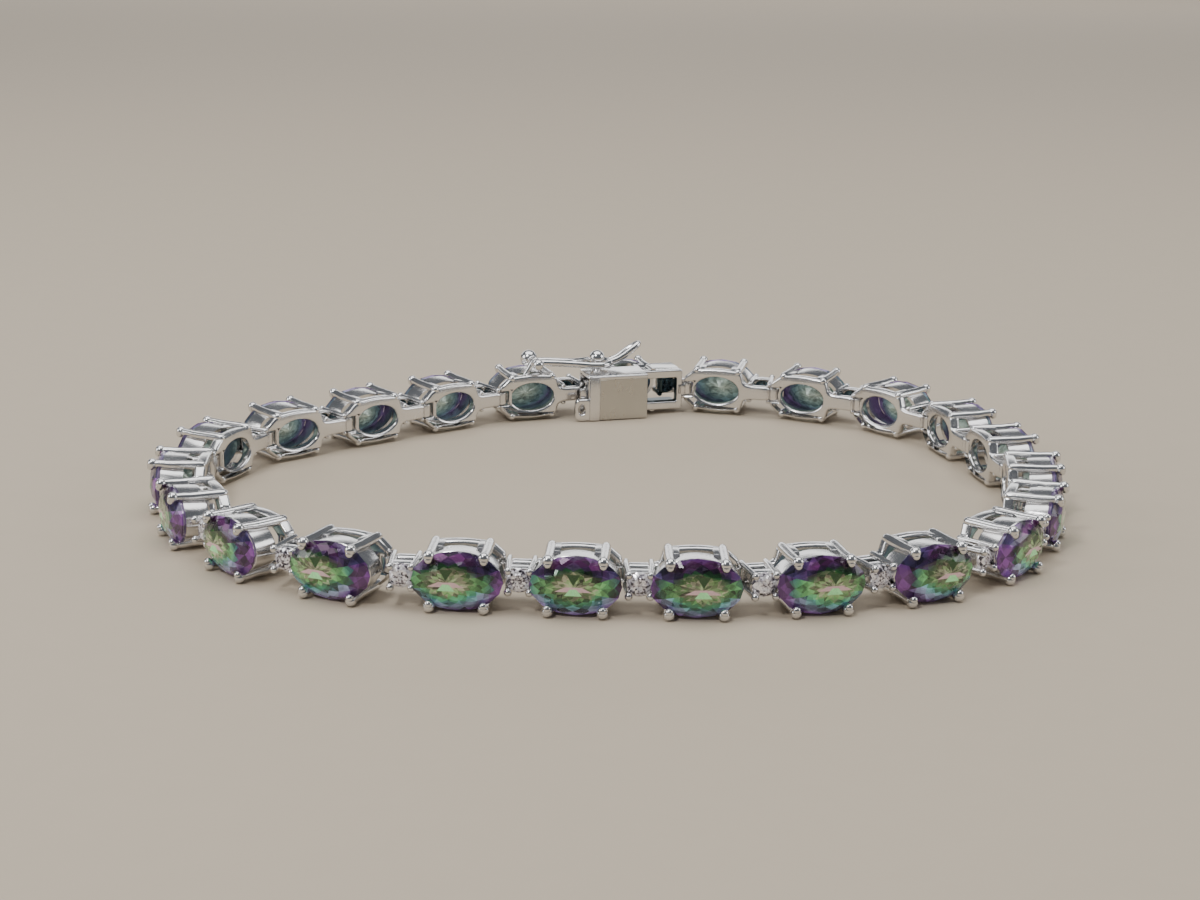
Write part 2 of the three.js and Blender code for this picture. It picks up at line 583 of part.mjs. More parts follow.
const clasp = settingGroup(hinge, headings.clasp, BOX_HINGE_BEHIND, BOX_HINGE_OUT);
const catchBall = new THREE.Vector3(KNUCKLE_ALONG + CATCH_REACH, KNUCKLE_OUT, KNUCKLE_UP);
clasp.worldToLocal(lastSetting.localToWorld(catchBall));
addPiece(clasp, "clasp_box", geometryOf(claspBoxSolid(catchBall)), silver);
addPiece(clasp, "clasp_tongue", geometryOf(tongueSolid()), silver);
const claspStone = stoneSolid().translate([0, CLASP_STONE_LIFT, 0]);
addPiece(clasp, "clasp_stone", geometryOf(claspStone), rainbowStone);
bracelet.add(clasp);

// The origin is under the middle of the bracelet
const bounds = new THREE.Box3().setFromObject(bracelet, true);
const middle = bounds.getCenter(new THREE.Vector3());
bracelet.position.set(-middle.x, -middle.y, -bounds.min.z);
bracelet.updateMatrixWorld(true);

export default bracelet;
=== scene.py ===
"""Tennis bracelet: the looks of its castings, stones, clasp and safety catch, built around the CAD frame."""

import math

import bmesh
import bpy
from mathutils import Matrix, Vector


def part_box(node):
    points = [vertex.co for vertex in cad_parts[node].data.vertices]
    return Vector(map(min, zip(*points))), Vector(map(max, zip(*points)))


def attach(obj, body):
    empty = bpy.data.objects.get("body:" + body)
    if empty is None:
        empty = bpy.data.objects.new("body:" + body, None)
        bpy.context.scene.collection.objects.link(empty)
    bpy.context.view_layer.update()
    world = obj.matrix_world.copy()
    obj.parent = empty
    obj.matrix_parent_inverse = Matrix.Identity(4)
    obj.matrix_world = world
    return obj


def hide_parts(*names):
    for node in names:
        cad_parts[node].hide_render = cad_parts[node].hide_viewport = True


bl_info = {
    "name": "Tennis Bracelet",
    "version": (1, 0, 0),
    "blender": (4, 5, 0),
    "location": "View3D > Sidebar > Bracelet",
    "description": "Claw-set oval and round stones, box clasp and safety catch of a hinged bracelet",
    "category": "Add Mesh",
}

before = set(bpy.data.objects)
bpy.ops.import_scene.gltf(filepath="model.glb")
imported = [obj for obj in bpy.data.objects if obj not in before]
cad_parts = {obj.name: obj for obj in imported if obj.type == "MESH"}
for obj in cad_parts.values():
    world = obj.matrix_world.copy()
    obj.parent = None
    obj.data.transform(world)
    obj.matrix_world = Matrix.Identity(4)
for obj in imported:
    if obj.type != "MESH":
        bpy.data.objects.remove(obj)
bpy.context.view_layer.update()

# Lengths are in millimetres in the frame of a setting: x along the loop, y outwards, z up.
MM = 0.001
LINKS = 22
CORNERS = ((-1, -1), (-1, 1), (1, -1), (1, 1))

# Headings of the links in degrees, clockwise round the loop from the clasp, and of the clasp
HEADINGS = (
    -11.5, -23.5, -46.5, -71.5, -77, -94.5, -106.5, -131, -155.5, -167, -179,
    -183, -184, -204, -227, -246.5, -268.5, -294, -319, -320.5, -323, -339,
)
CLASP_HEADING = -342.5
CLOSING_ROUNDS = 20
HINGE_AHEAD = 4.95
HINGE_BEHIND = 2.65
PITCH = HINGE_AHEAD + HINGE_BEHIND
HINGE_OUT = 0.5
BOX_HINGE_BEHIND = 4.05
BOX_HINGE_OUT = 0.9
MID_HEIGHT = 2.11
PLACE_TOLERANCE = 0.1

# Stones
CAD_STONE_HALF = 3.0
CAD_STONE_SIDES = 10
GIRDLE_OUT = 3.5
CROWN_HEIGHT = 0.62
PAVILION_DEPTH = 2.1
TABLE_SHARE = 0.58
MAINS = 8
CLASP_LIFT = 0.62

# Small setting and its round stone
ACCENT_ALONG = 3.68
ACCENT_PITCH = 1.4
ACCENT_BACK = 0.35
ACCENT_SEAT = 2.85
ACCENT_GIRDLE = 2.87
ACCENT_CROWN = 0.33
ACCENT_DEPTH = 0.75
POST_RADIUS = 0.21
POST_BEAD = 0.27
POST_BEAD_OUT = 3.26

# Claws, gallery rail and back plate
CLAW_ALONG = 3.55
CLAW_ACROSS = 3.26
CLAW_LEAN = 0.08
CLAW_RADII = (0.33, 0.35, 0.34, 0.31, 0.29)
CLAW_BEAD = 0.39
CLAW_BEAD_OUT = 3.86
CLAW_TIP = 0.29
CLAW_TIP_OUT = 3.98
LINK_FOOT = 0.3
RAIL_LOW = 1.6
RAIL_HALF_LENGTH = 2.86
RAIL_HALF_WIDTH = 1.86
PLATE_THICKNESS = 0.8
WINDOW_HALF_LENGTH = 1.9
WINDOW_HALF_WIDTH = 1.17

# Hinges
EAR_LOW = 0.6
EAR_HIGH = 1.0
EYE_RADIUS = 0.45
EYE_BORE = 0.27
EYE_HALF = 0.5
PIN_RADIUS = 0.19
PIN_HALF = 0.98
NECK_END = HINGE_AHEAD - 0.33

# Clasp box
MOUTH = -4.35
BOX_END = 0.85
BOX_INNER = -1.2
BOX_OUTER = 1.9
BOX_TOP = 1.85
BOX_WALL = 0.35
LUG_REACH = 1.2
LUG_TOP = -0.15
RIM_LOW = -2.04
RIM_TOP = 1.78
RIM_DEPTH = 0.3
FRAME_START = BOX_END - 0.1
FRAME_END = 4.36
FRAME_HALF = 1.73
FRAME_WALL = 0.35
FRAME_DEPTH = 2.95
FRAME_OPENING = 1.05
FRAME_OPENING_END = 3.86

# Tongue in the box
TONGUE_ROOT = -3.49
TONGUE_TIP = 0.05
TONGUE_HALF = 1.25
TONGUE_OUTER = (0.7, 1.1)
TONGUE_INNER = (-0.45, -0.05)
TONGUE_EAR_END = -4.25
TAB_HALF = 0.6

# Knuckle and safety catch in the frame of the last link
KNUCKLE_ALONG = 0.46
KNUCKLE_OUT = 1.15
KNUCKLE_UP = 2.75
KNUCKLE_BALL = 0.73
KNUCKLE_KNOB = 0.47
CATCH_REACH = 5.7
CATCH_DROP = 0.4
CATCH_SPREAD = 0.44
LOOP_HALF = 1.14
CATCH_BALL = 0.68
GRIP_LENGTH = 2.7
GRIP_RISE = 1.6
GRIP_TIP_RISE = 1.42

# Sideways shift of a stone's painted colours per square metre of its place, a painted reflection that moves
# with where the stone sits: none at the front, back and sides.
PAINTED_REFLECTION_LEAN = 560.0

# Stage in metres: name, place, width, height and power of each lamp, then the camera
LAMPS = (
    ("overhead", (0.0, 0.06, 0.40), 0.50, 0.34, 1.45),
    ("back", (0.0, 0.56, 0.115), 0.90, 0.145, 0.8),
    ("left", (-0.40, -0.06, 0.16), 0.22, 0.20, 0.5),
    ("right", (0.40, -0.02, 0.16), 0.22, 0.20, 0.4),
    ("key", (-0.14, -0.20, 0.30), 0.07, 0.07, 0.45),
)
FLOOR_HALF = 1.5
CAMERA_PLACE = (-0.96 * MM, -166.91 * MM, 49.89 * MM)
CAMERA_DOWN = 15.578
CAMERA_ROLL = 0.0213
CAMERA_LENS = 68.63


# ---------- places

def way(angle):
    """Unit vector in the plan along a heading."""
    return Vector((math.cos(angle), math.sin(angle)))


def turned(vector, angle):
    """Vector of the plan turned by a heading."""
    return Matrix.Rotation(angle, 2) @ vector


def closed_headings():
    """Headings in radians, swayed by the least that closes the loop."""
    base = [math.radians(a) for a in HEADINGS]
    clasp = math.radians(CLASP_HEADING)
    step = turned(Vector((HINGE_AHEAD + BOX_HINGE_BEHIND, HINGE_OUT - BOX_HINGE_OUT)), clasp)
    sway = Vector((0.0, 0.0))

    def swayed():
        return [a + sway.x * math.cos(a) + sway.y * math.sin(a) for a in base]
    for _ in range(CLOSING_ROUNDS):
        gap = step.copy()
        jacobian = Matrix(((0.0, 0.0), (0.0, 0.0)))
        for a, b in zip(swayed(), base):
            gap += PITCH * way(a)
            jacobian[0] += PITCH * -math.sin(a) * way(b)
            jacobian[1] += PITCH * math.cos(a) * way(b)
        sway -= jacobian.inverted() @ gap
    return swayed(), clasp


def stone_middle(origin, heading):
    """Middle of the plan box of a CAD stone whose setting stands there."""
    half = CAD_STONE_HALF * math.cos(math.pi / CAD_STONE_SIDES)
    table, crown = half * TABLE_SHARE, GIRDLE_OUT + CROWN_HEIGHT
    corners = [(-half, GIRDLE_OUT), (half, GIRDLE_OUT), (-table, crown), (table, crown),
               (0, GIRDLE_OUT - PAVILION_DEPTH)]
    plan = [origin + turned(Vector(c), heading) for c in corners]
    return Vector([(min(p[i] for p in plan) + max(p[i] for p in plan)) / 2 for i in (0, 1)])


def setting_places():
    """Origin in millimetres and heading of each link's setting, then the clasp's."""
    headings, clasp = closed_headings()
    places, hinge = [], Vector((0.0, 0.0))
    for heading in headings:
        places.append((hinge - turned(Vector((-HINGE_BEHIND, HINGE_OUT)), heading), heading))
        hinge = hinge + PITCH * way(heading)
    places.append((hinge - turned(Vector((-BOX_HINGE_BEHIND, BOX_HINGE_OUT)), clasp), clasp))
    offsets = []
    for i in range(LINKS):
        low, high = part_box(f"stone_{i + 1:02d}")
        offsets.append((low + high).to_2d() / 2 / MM - stone_middle(*places[i]))
    shift = sum(offsets, Vector((0.0, 0.0))) / len(offsets)
    if max((o - shift).length for o in offsets) > PLACE_TOLERANCE:
        raise RuntimeError("the links of the frame don't stand where the headings put them")
    return [((origin + shift).to_3d() + Vector((0, 0, MID_HEIGHT)), heading) for origin, heading in places]


PLACES = setting_places()


def placing(index):
    """Matrix from a setting's frame in millimetres to the row frame in metres."""
    origin, heading = PLACES[index]
    return Matrix.Scale(MM, 4) @ Matrix.Translation(origin) @ Matrix.Rotation(heading, 4, "Z")


# ---------- mesh helpers

def span(sign, near, far):
    """Lower and upper bound of two distances on one side of the middle."""
    return sorted((sign * near, sign * far))


def oval(half_length, half_height, count, centre=(0, 0)):
    """Outline of an oval."""
    angles = [2 * math.pi * i / count for i in range(count)]
    return [Vector(centre) + Vector((half_length * math.cos(a), half_height * math.sin(a))) for a in angles]


def rounded(points, radius, steps=4):
    """Closed outline with each corner rounded by an arc; radius is one number or one for each corner."""
    result = []
    for i, corner in enumerate(points):
        corner = Vector(corner)
        before = Vector(points[i - 1]) - corner
        after = Vector(points[(i + 1) % len(points)]) - corner
        r = radius[i] if isinstance(radius, (list, tuple)) else radius
        reach = min(r, before.length * 0.49, after.length * 0.49)
        start, end = corner + before.normalized() * reach, corner + after.normalized() * reach
        for k in range(steps + 1):
            t = k / steps
            result.append((1 - t) ** 2 * start + 2 * t * (1 - t) * corner + t * t * end)
    return result


def rectangle(left, low, right, high, radius, steps=4):
    """Rounded outline of a rectangle."""
    return rounded([(left, low), (right, low), (right, high), (left, high)], radius, steps)


def skin(bm, rings, closed=False):
    """Quads between rings of vertices with the same count; an open skin gets a cap at both ends."""
    count = len(rings[0])
    pairs = list(zip(rings, rings[1:])) + ([(rings[-1], rings[0])] if closed else [])
    for one, two in pairs:
        for i in range(count):
            j = (i + 1) % count
            bm.faces.new((one[i], one[j], two[j], two[i]))
    if not closed:
        bm.faces.new(rings[0][::-1])
        bm.faces.new(rings[-1])


def tube(bm, path, radius, sides=12, closed=False, domed=False):
    """Wire along a path, with one radius or one for each point, and a domed start if asked for."""
    path = [Vector(p) for p in path]
    radii = list(radius) if isinstance(radius, (list, tuple)) else [radius] * len(path)
    if domed:
        outwards, r = (path[0] - path[1]).normalized(), radii[0]
        cap = [(path[0] + outwards * r * math.sin(a), r * math.cos(a)) for a in (1.3, 0.9, 0.45)]
        path, radii = [c[0] for c in cap] + path, [c[1] for c in cap] + radii
    rings, normal, count = [], None, len(path)
    for i, point in enumerate(path):
        before = path[i - 1] if (i or closed) else point
        after = path[(i + 1) % count] if (i + 1 < count or closed) else point
        tangent = (after - before).normalized()
        if normal is None:
            up = Vector((0, 0, 1)) if abs(tangent.z) < 0.9 else Vector((1, 0, 0))
            normal = up.cross(tangent)
        normal = (normal - tangent * normal.dot(tangent)).normalized()
        side = tangent.cross(normal)
        angles = [2 * math.pi * k / sides for k in range(sides)]
        rings.append([bm.verts.new(point + (normal * math.cos(a) + side * math.sin(a)) * radii[i])
                      for a in angles])
    skin(bm, rings, closed)


def ball(bm, centre, radius, u=14, v=9):
    """Sphere with u segments round and v rings."""
    bmesh.ops.create_uvsphere(
        bm, u_segments=u, v_segments=v, radius=radius, matrix=Matrix.Translation(Vector(centre)))


def band(bm, outline, section):
    """Closed band round an outline in x and z. The section gives offsets from it and heights outwards."""
    rings = []
    for i, point in enumerate(outline):
        tangent = (outline[(i + 1) % len(outline)] - outline[i - 1]).normalized()
        normal = Vector((tangent.y, -tangent.x))
        spots = [(point + normal * offset, height) for offset, height in section]
        rings.append([bm.verts.new((spot.x, height, spot.y)) for spot, height in spots])
    skin(bm, rings, closed=True)


def rounded_box(bm, low, high, edge, segments=2):
    """Box between two corners with rounded edges."""
    made = bmesh.ops.create_cube(bm, size=1)["verts"]
    low, high = Vector(low), Vector(high)
    for vert in made:
        vert.co = Vector([(low[i] + high[i]) / 2 + vert.co[i] * (high[i] - low[i]) for i in range(3)])
    edges = {e for vert in made for e in vert.link_edges}
    bmesh.ops.bevel(bm, geom=list(edges), offset=edge, segments=segments, profile=0.5, affect="EDGES")


def new_object(name, data):
    """Object of the data in the scene."""
    made = bpy.data.objects.new(name, data)
    bpy.context.scene.collection.objects.link(made)
    return made


def cut_plate(bm, loops, low, high, edge, axis="Y"):
    """Plate with holes: the first loop is its outline, drawn in x and z (or x and y), with rounded edges."""
    curve = bpy.data.curves.new("plate", "CURVE")
    curve.dimensions, curve.fill_mode = "2D", "BOTH"
    curve.extrude, curve.bevel_depth = (high - low) / 2 - edge, edge
    curve.bevel_resolution, curve.offset = 2, -edge
    for loop in loops:
        spline = curve.splines.new("POLY")
        spline.points.add(len(loop) - 1)
        for target, point in zip(spline.points, loop):
            target.co = (point[0], point[1], 0, 1)
        spline.use_cyclic_u = True
    host = new_object("plate", curve)
    bpy.context.view_layer.update()
    mesh = bpy.data.meshes.new_from_object(host.evaluated_get(bpy.context.evaluated_depsgraph_get()))
    middle = (low + high) / 2
    for vert in mesh.vertices:
        x, y, z = vert.co
        vert.co = (x, middle + z, y) if axis == "Y" else (x, y, middle + z)
    piece = bmesh.new()
    piece.from_mesh(mesh)
    bmesh.ops.remove_doubles(piece, verts=piece.verts, dist=1e-4)
    piece.to_mesh(mesh)
    piece.free()
    bm.from_mesh(mesh)
    bpy.data.objects.remove(host)
    bpy.data.curves.remove(curve)
    bpy.data.meshes.remove(mesh)


def new_mesh(bm, name):
    """Mesh of a bmesh, which is freed."""
    mesh = bpy.data.meshes.new(name)
    bm.to_mesh(mesh)
    bm.free()
    return mesh


def finished_mesh(bm, name, sharp=40):
    """Mesh of a bmesh with its faces turned out and its sharp edges marked."""
    bmesh.ops.recalc_face_normals(bm, faces=bm.faces)
    mesh = new_mesh(bm, name)
    mesh.polygons.foreach_set("use_smooth", [True] * len(mesh.polygons))
    mesh.set_sharp_from_angle(angle=math.radians(sharp))
    return mesh


def absorb(bm, mesh):
    """Add a mesh to a bmesh and remove it."""
    bm.from_mesh(mesh)
    bpy.data.meshes.remove(mesh)


def joined(name, *meshes):
    """One mesh from several, each with the sharp edges that it has."""
    bm = bmesh.new()
    for mesh in meshes:
        absorb(bm, mesh)
    return new_mesh(bm, name)


def smooth_path(points, per_span):
    """Centripetal Catmull-Rom curve through the points."""
    points = [Vector(p) for p in points]
    padded = [2 * points[0] - points[1], *points, 2 * points[-1] - points[-2]]
    result = []
    for i in range(1, len(padded) - 2):
        p = padded[i - 1:i + 3]
        t = [0.0]
        for a, b in zip(p, p[1:]):
            t.append(t[-1] + max((b - a).length, 1e-6) ** 0.5)
        for k in range(per_span):
            x = t[1] + (t[2] - t[1]) * k / per_span

            def blend(pair, low, high):
                return pair[0] * ((high - x) / (high - low)) + pair[1] * ((x - low) / (high - low))
            a = [blend(p[j:j + 2], t[j], t[j + 1]) for j in range(3)]
            b = [blend(a[j:j + 2], t[j], t[j + 2]) for j in range(2)]
            result.append(blend(b, t[1], t[2]))
    return result + [points[-1]]


# ---------- castings

def claw(bm, along, across, foot):
    """One claw: a thick rod up the basket's corner that ends in a polished bead over the stone's edge."""
    x, z = along * CLAW_ALONG / 2, across * CLAW_ACROSS / 2
    lean = Vector((0, 0, across * CLAW_LEAN))
    path = [(x, foot, z), (x, foot + 0.4, z), (x, 2.6, z), Vector((x, 3.2, z)) + lean * 0.8,
            Vector((x, 3.7, z)) + lean]
    tube(bm, path, CLAW_RADII, domed=True)
    ball(bm, Vector((x, CLAW_BEAD_OUT, z)) + lean, CLAW_BEAD, 16, 11)
    ball(bm, Vector((x, CLAW_TIP_OUT, z - across * 0.2)) + lean, CLAW_TIP, 12, 8)


def basket(bm, foot, low=RAIL_LOW):
    """Four claws, the flared gallery rail that the stone sits in and the webs beside the bars."""
    for along, across in CORNERS:
        claw(bm, along, across, foot)
    section = [(-0.36, low + 0.06), (-0.06, low), (-0.02, low + 0.15), (0.05, 2.9), (0.06, 3.22),
               (-0.04, 3.3), (-0.3, 2.9)]
    band(bm, oval(RAIL_HALF_LENGTH, RAIL_HALF_WIDTH, 44), section)
    for along, across in CORNERS:
        start, end = span(along, 1.08, CLAW_ALONG / 2)
        under, over = span(across, 1.5, 1.83)
        rounded_box(bm, (start, foot, under), (end, 2.0, over), 0.1)


def small_setting(bm, near_back=ACCENT_BACK):
    """Square setting between two ovals: cross walls, a seat and four posts with beads."""
    half = ACCENT_PITCH / 2
    for along, foot in ((-1, near_back), (1, ACCENT_BACK)):
        x = ACCENT_ALONG + along * half
        wide = x + along * 0.13
        rounded_box(bm, (x - 0.1, foot, -0.58), (x + 0.1, 2.2, 0.58), 0.04, 1)
        for across in (-1, 1):
            z = across * half
            post = [(wide, foot, z), (wide, 1.5, z), (x, ACCENT_SEAT + 0.35, z)]
            tube(bm, post, POST_RADIUS, sides=10, domed=True)
            ball(bm, (x, POST_BEAD_OUT, z * 1.02), POST_BEAD, 12, 8)
    edge = half + 0.12
    square = rectangle(ACCENT_ALONG - edge, -edge, ACCENT_ALONG + edge, edge, 0.3, 3)
    cup = oval(0.68, 0.68, 16, (ACCENT_ALONG, 0))
    cut_plate(bm, [square, cup], 2.1, ACCENT_SEAT, 0.06)


def hinge_eye(bm):
    """Eyelet at the clockwise end with its bore."""
    loops = [oval(radius, radius, 20, (HINGE_AHEAD, HINGE_OUT)) for radius in (EYE_RADIUS, EYE_BORE)]
    cut_plate(bm, loops, -EYE_HALF, EYE_HALF, 0.05, axis="Z")


def hinge_pin(bm, along, out):
    """Pin across a fork."""
    tube(bm, [(along, out, -PIN_HALF), (along, out, PIN_HALF)], PIN_RADIUS)


def link_casting():
    """Whole silver of one link in the setting's own frame."""
    bm = bmesh.new()
    basket(bm, LINK_FOOT)
    small_setting(bm)
    hinge_eye(bm)
    # Upper half of the back plate's outline from the neck to the fork, with the rounding of each corner
    half = [(NECK_END, 0.48), (4.3, 0.6), (2.9, 0.6), (2.35, 0.72), (2.12, 1.6), (1.7, 1.76), (0, 1.9),
            (-1.7, 1.76), (-2.12, 1.6), (-2.85, EAR_HIGH), (-2.85, EAR_LOW), (-2.09, EAR_LOW)]
    radii = [0.05, 0.2, 0.4, 0.4, 0.4, 0.4, 1.2, 0.4, 0.4, 0.2, 0.1, 0.1]
    outline = rounded(half + [(x, -z) for x, z in reversed(half)], radii + radii[::-1])
    cut_plate(bm, [outline, oval(WINDOW_HALF_LENGTH, WINDOW_HALF_WIDTH, 44)], 0.0, PLATE_THICKNESS, 0.2)
    hinge_pin(bm, -HINGE_BEHIND, HINGE_OUT)
    return finished_mesh(bm, "link_casting")


def knuckle_mesh():
    """Knuckle of the safety catch: two feet, a cross pin, its large outer ball and its inner knob."""
    bm = bmesh.new()
    x, y, top = KNUCKLE_ALONG, KNUCKLE_OUT, KNUCKLE_UP
    leg = [(0.8, 1.5), (0.72, 1.75), (0.4, 2.25), (0.12, 2.75)]
    arch = [(x - a, y, z) for a, z in leg] + [(x, y, 2.86)] + [(x + a, y, z) for a, z in leg[::-1]]
    tube(bm, smooth_path(arch, 4), 0.22, sides=10)
    rounded_box(bm, (x - 1.0, 0.5, 1.28), (x + 1.0, 1.35, 1.73), 0.12)
    tube(bm, [(x, 0.0, top), (x, 2.6, top)], 0.2)
    ball(bm, (x, 2.55, top), KNUCKLE_BALL, 28, 18)
    ball(bm, (x, 0.01, top), KNUCKLE_KNOB, 22, 14)
    return finished_mesh(bm, "knuckle")


def shell_section(bm, inset, rounding, x, roll=0.0):
    """Ring of the clasp box's shell at x; roll moves its inner wall outwards."""
    outline = rectangle(BOX_INNER + inset + roll, -MID_HEIGHT + inset, BOX_OUTER - inset, BOX_TOP - inset,
                        rounding)
    return [bm.verts.new((x, p.x, p.y)) for p in outline]


def box_mesh():
    """Box, open at its mouth, with its lug and the rims of its inner plate."""
    bm = bmesh.new()
    sections = (
        (BOX_WALL, 0.12, BOX_END - BOX_WALL), (BOX_WALL, 0.12, MOUTH + 0.15), (BOX_WALL - 0.06, 0.2, MOUTH),
        (0.06, 0.3, MOUTH, 0.22), (0.0, 0.3, MOUTH + 0.08, 0.2), (0.0, 0.3, MOUTH + 0.9),
        (0.0, 0.22, BOX_END - 0.1), (0.1, 0.2, BOX_END))
    skin(bm, [shell_section(bm, *section) for section in sections])
    lug = rectangle(MOUTH - LUG_REACH, -MID_HEIGHT + 0.03, MOUTH + 0.2, LUG_TOP, [0.8, 0.1, 0.1, 0.5], 6)
    hole = oval(0.28, 0.43, 20, (MOUTH - 0.6, -1.06))
    cut_plate(bm, [lug, hole], BOX_INNER + 0.1, BOX_INNER + 0.6, 0.14)
    depth = BOX_INNER + RIM_DEPTH
    rounded_box(bm, (MOUTH + 0.06, BOX_INNER - 0.08, RIM_LOW), (MOUTH + 0.92, depth, RIM_TOP), 0.07, 3)
    rounded_box(bm, (MOUTH + 0.5, BOX_INNER - 0.06, 1.5), (BOX_END - 0.03, depth, RIM_TOP), 0.05, 3)
    return finished_mesh(bm, "box", 24)


def plate_mesh():
    """Plain inner plate between the box's rims, on the second material."""
    bm = bmesh.new()
    rounded_box(bm, (MOUTH + 0.94, BOX_INNER - 0.02, -2.0), (BOX_END - 0.06, BOX_INNER + 0.2, 1.48), 0.02, 1)
    mesh = finished_mesh(bm, "plate")
    mesh.polygons.foreach_set("material_index", [1] * len(mesh.polygons))
    return mesh


def fittings_mesh():
    """Window frame, with its inside painted dark as shade, and claws, small setting, eyelet and catch ball.
    """
    bm = bmesh.new()
    window = rectangle(FRAME_START, -FRAME_HALF, FRAME_END, FRAME_HALF, 0.18)
    opening = rectangle(BOX_END + 0.02, -FRAME_OPENING, FRAME_OPENING_END, FRAME_OPENING, 0.16)
    cut_plate(bm, [window, opening], 0.0, PLATE_THICKNESS, 0.1)
    for across in (-1, 1):
        x, z = CLAW_ALONG / 2, across * CLAW_ACROSS / 2
        tube(bm, [(x, 0.3, z), (x, 2.0, z)], 0.28, sides=10)
        under, over = span(across, FRAME_HALF - FRAME_WALL, FRAME_HALF - 0.02)
        rounded_box(bm, (FRAME_START, 0.3, under), (FRAME_END - 0.02, FRAME_DEPTH, over), 0.09, 3)
    raised = bmesh.new()
    basket(raised, 1.2, 2.45)
    bmesh.ops.translate(raised, verts=raised.verts, vec=(0, CLASP_LIFT, 0))
    absorb(bm, new_mesh(raised, "raised"))
    small_setting(bm, 1.6)
    hinge_eye(bm)
    rounded_box(bm, (3.9, 0.0, -0.5), (NECK_END, PLATE_THICKNESS, 0.5), 0.08)
    centre = placing(LINKS).inverted() @ (
        placing(LINKS - 1) @ Vector((KNUCKLE_ALONG + CATCH_REACH, KNUCKLE_OUT, KNUCKLE_UP)))
    foot = Vector((centre.x, centre.y, BOX_TOP - 0.1))
    post = [foot, foot.lerp(centre, 0.25), foot.lerp(centre, 0.5), centre]
    tube(bm, post, [0.46, 0.35, 0.32, 0.32], sides=16)
    ball(bm, centre, CATCH_BALL, 28, 18)
    mesh = finished_mesh(bm, "fittings")
    # Faces inside the window get the third material, painted dark as shade.
    painted_shade_faces = [2 if BOX_END < c.x < 3.9 and 0.1 < c.y < 2.4 and abs(c.z) < FRAME_HALF - 0.3 else 0
              for c in (face.center for face in mesh.polygons)]
    mesh.polygons.foreach_set("material_index", painted_shade_faces)
    return mesh


def tongue_mesh():
    """Folded spring strip with its thumb tab, the two ears of its fork and the pin."""
    bm = bmesh.new()
    (under, over), (low, high) = TONGUE_OUTER, TONGUE_INNER
    strip = [(TONGUE_ROOT, under), (TONGUE_TIP - 0.4, under), (TONGUE_TIP - 0.4, high), (MOUTH + 0.1, high),
             (MOUTH + 0.1, low), (TONGUE_TIP, low), (TONGUE_TIP, over), (TONGUE_ROOT, over)]
    strip = rounded(strip, [0.05, 0.3, 0.3, 0.1, 0.1, 0.5, 0.5, 0.1], 5)
    cut_plate(bm, [strip], -TONGUE_HALF, TONGUE_HALF, 0.06, axis="Z")
    tab = rectangle(MOUTH - 0.55, -TAB_HALF, MOUTH + 0.3, TAB_HALF, [0.3, 0.05, 0.05, 0.3], 5)
    cut_plate(bm, [tab], low, high, 0.08)
    for across in (-1, 1):
        ear = rectangle(TONGUE_EAR_END, 0.6, TONGUE_ROOT + 0.2, 1.2, [0.28, 0.05, 0.05, 0.28], 5)
        cut_plate(bm, [ear], *span(across, EAR_LOW, EAR_HIGH), 0.05, axis="Z")
    hinge_pin(bm, -BOX_HINGE_BEHIND, BOX_HINGE_OUT)
    return finished_mesh(bm, "clasp_spring")


def catch_point(x, y, z):
    """Point beside the knuckle."""
    return Vector((KNUCKLE_ALONG + x, KNUCKLE_OUT + y, z))


def catch_mesh(wire):
    """Figure-eight wire with its turned-up grip and the two eyelets on the knuckle's pin."""
    bm = bmesh.new()
    flat, start = KNUCKLE_UP - CATCH_DROP, CATCH_REACH + LOOP_HALF - 0.1

    def side(sign):
        """Arm of the loop: distance along it, distance from the middle and share of the drop."""
        rows = ((0.34, CATCH_SPREAD, 0), (CATCH_REACH * 0.25, CATCH_SPREAD * 1.08, 0.2),
                (CATCH_REACH * 0.62, CATCH_SPREAD * 1.25, 0.75), (CATCH_REACH * 0.86, LOOP_HALF * 0.86, 1),
                (CATCH_REACH, LOOP_HALF, 1), (CATCH_REACH + LOOP_HALF * 0.7, LOOP_HALF * 0.7, 1))
        return [catch_point(x, sign * y, KNUCKLE_UP - CATCH_DROP * share) for x, y, share in rows]

    def grip(sign):
        """Side of the grip."""
        rows = ((0, 0.25, 0), (0.35, 0.3, 0.2), (0.75, 0.3, 0.64))
        return [catch_point(start + GRIP_LENGTH * x, sign * y, flat + GRIP_RISE * z) for x, y, z in rows]
    loop = [*side(-1), catch_point(CATCH_REACH + LOOP_HALF, 0, flat), *side(1)[::-1]]
    tube(bm, smooth_path(loop, 7), wire)
    handle = [*grip(-1), catch_point(start + GRIP_LENGTH, 0, flat + GRIP_TIP_RISE), *grip(1)[::-1]]
    tube(bm, smooth_path(handle, 7), wire)
    for sign in (-1, 1):
        ring = [catch_point(p.x, sign * CATCH_SPREAD, KNUCKLE_UP + p.y) for p in oval(0.33, 0.33, 24)]
        tube(bm, ring, 0.12, sides=10, closed=True)
    return finished_mesh(bm, "catch_wire")


# ---------- stones

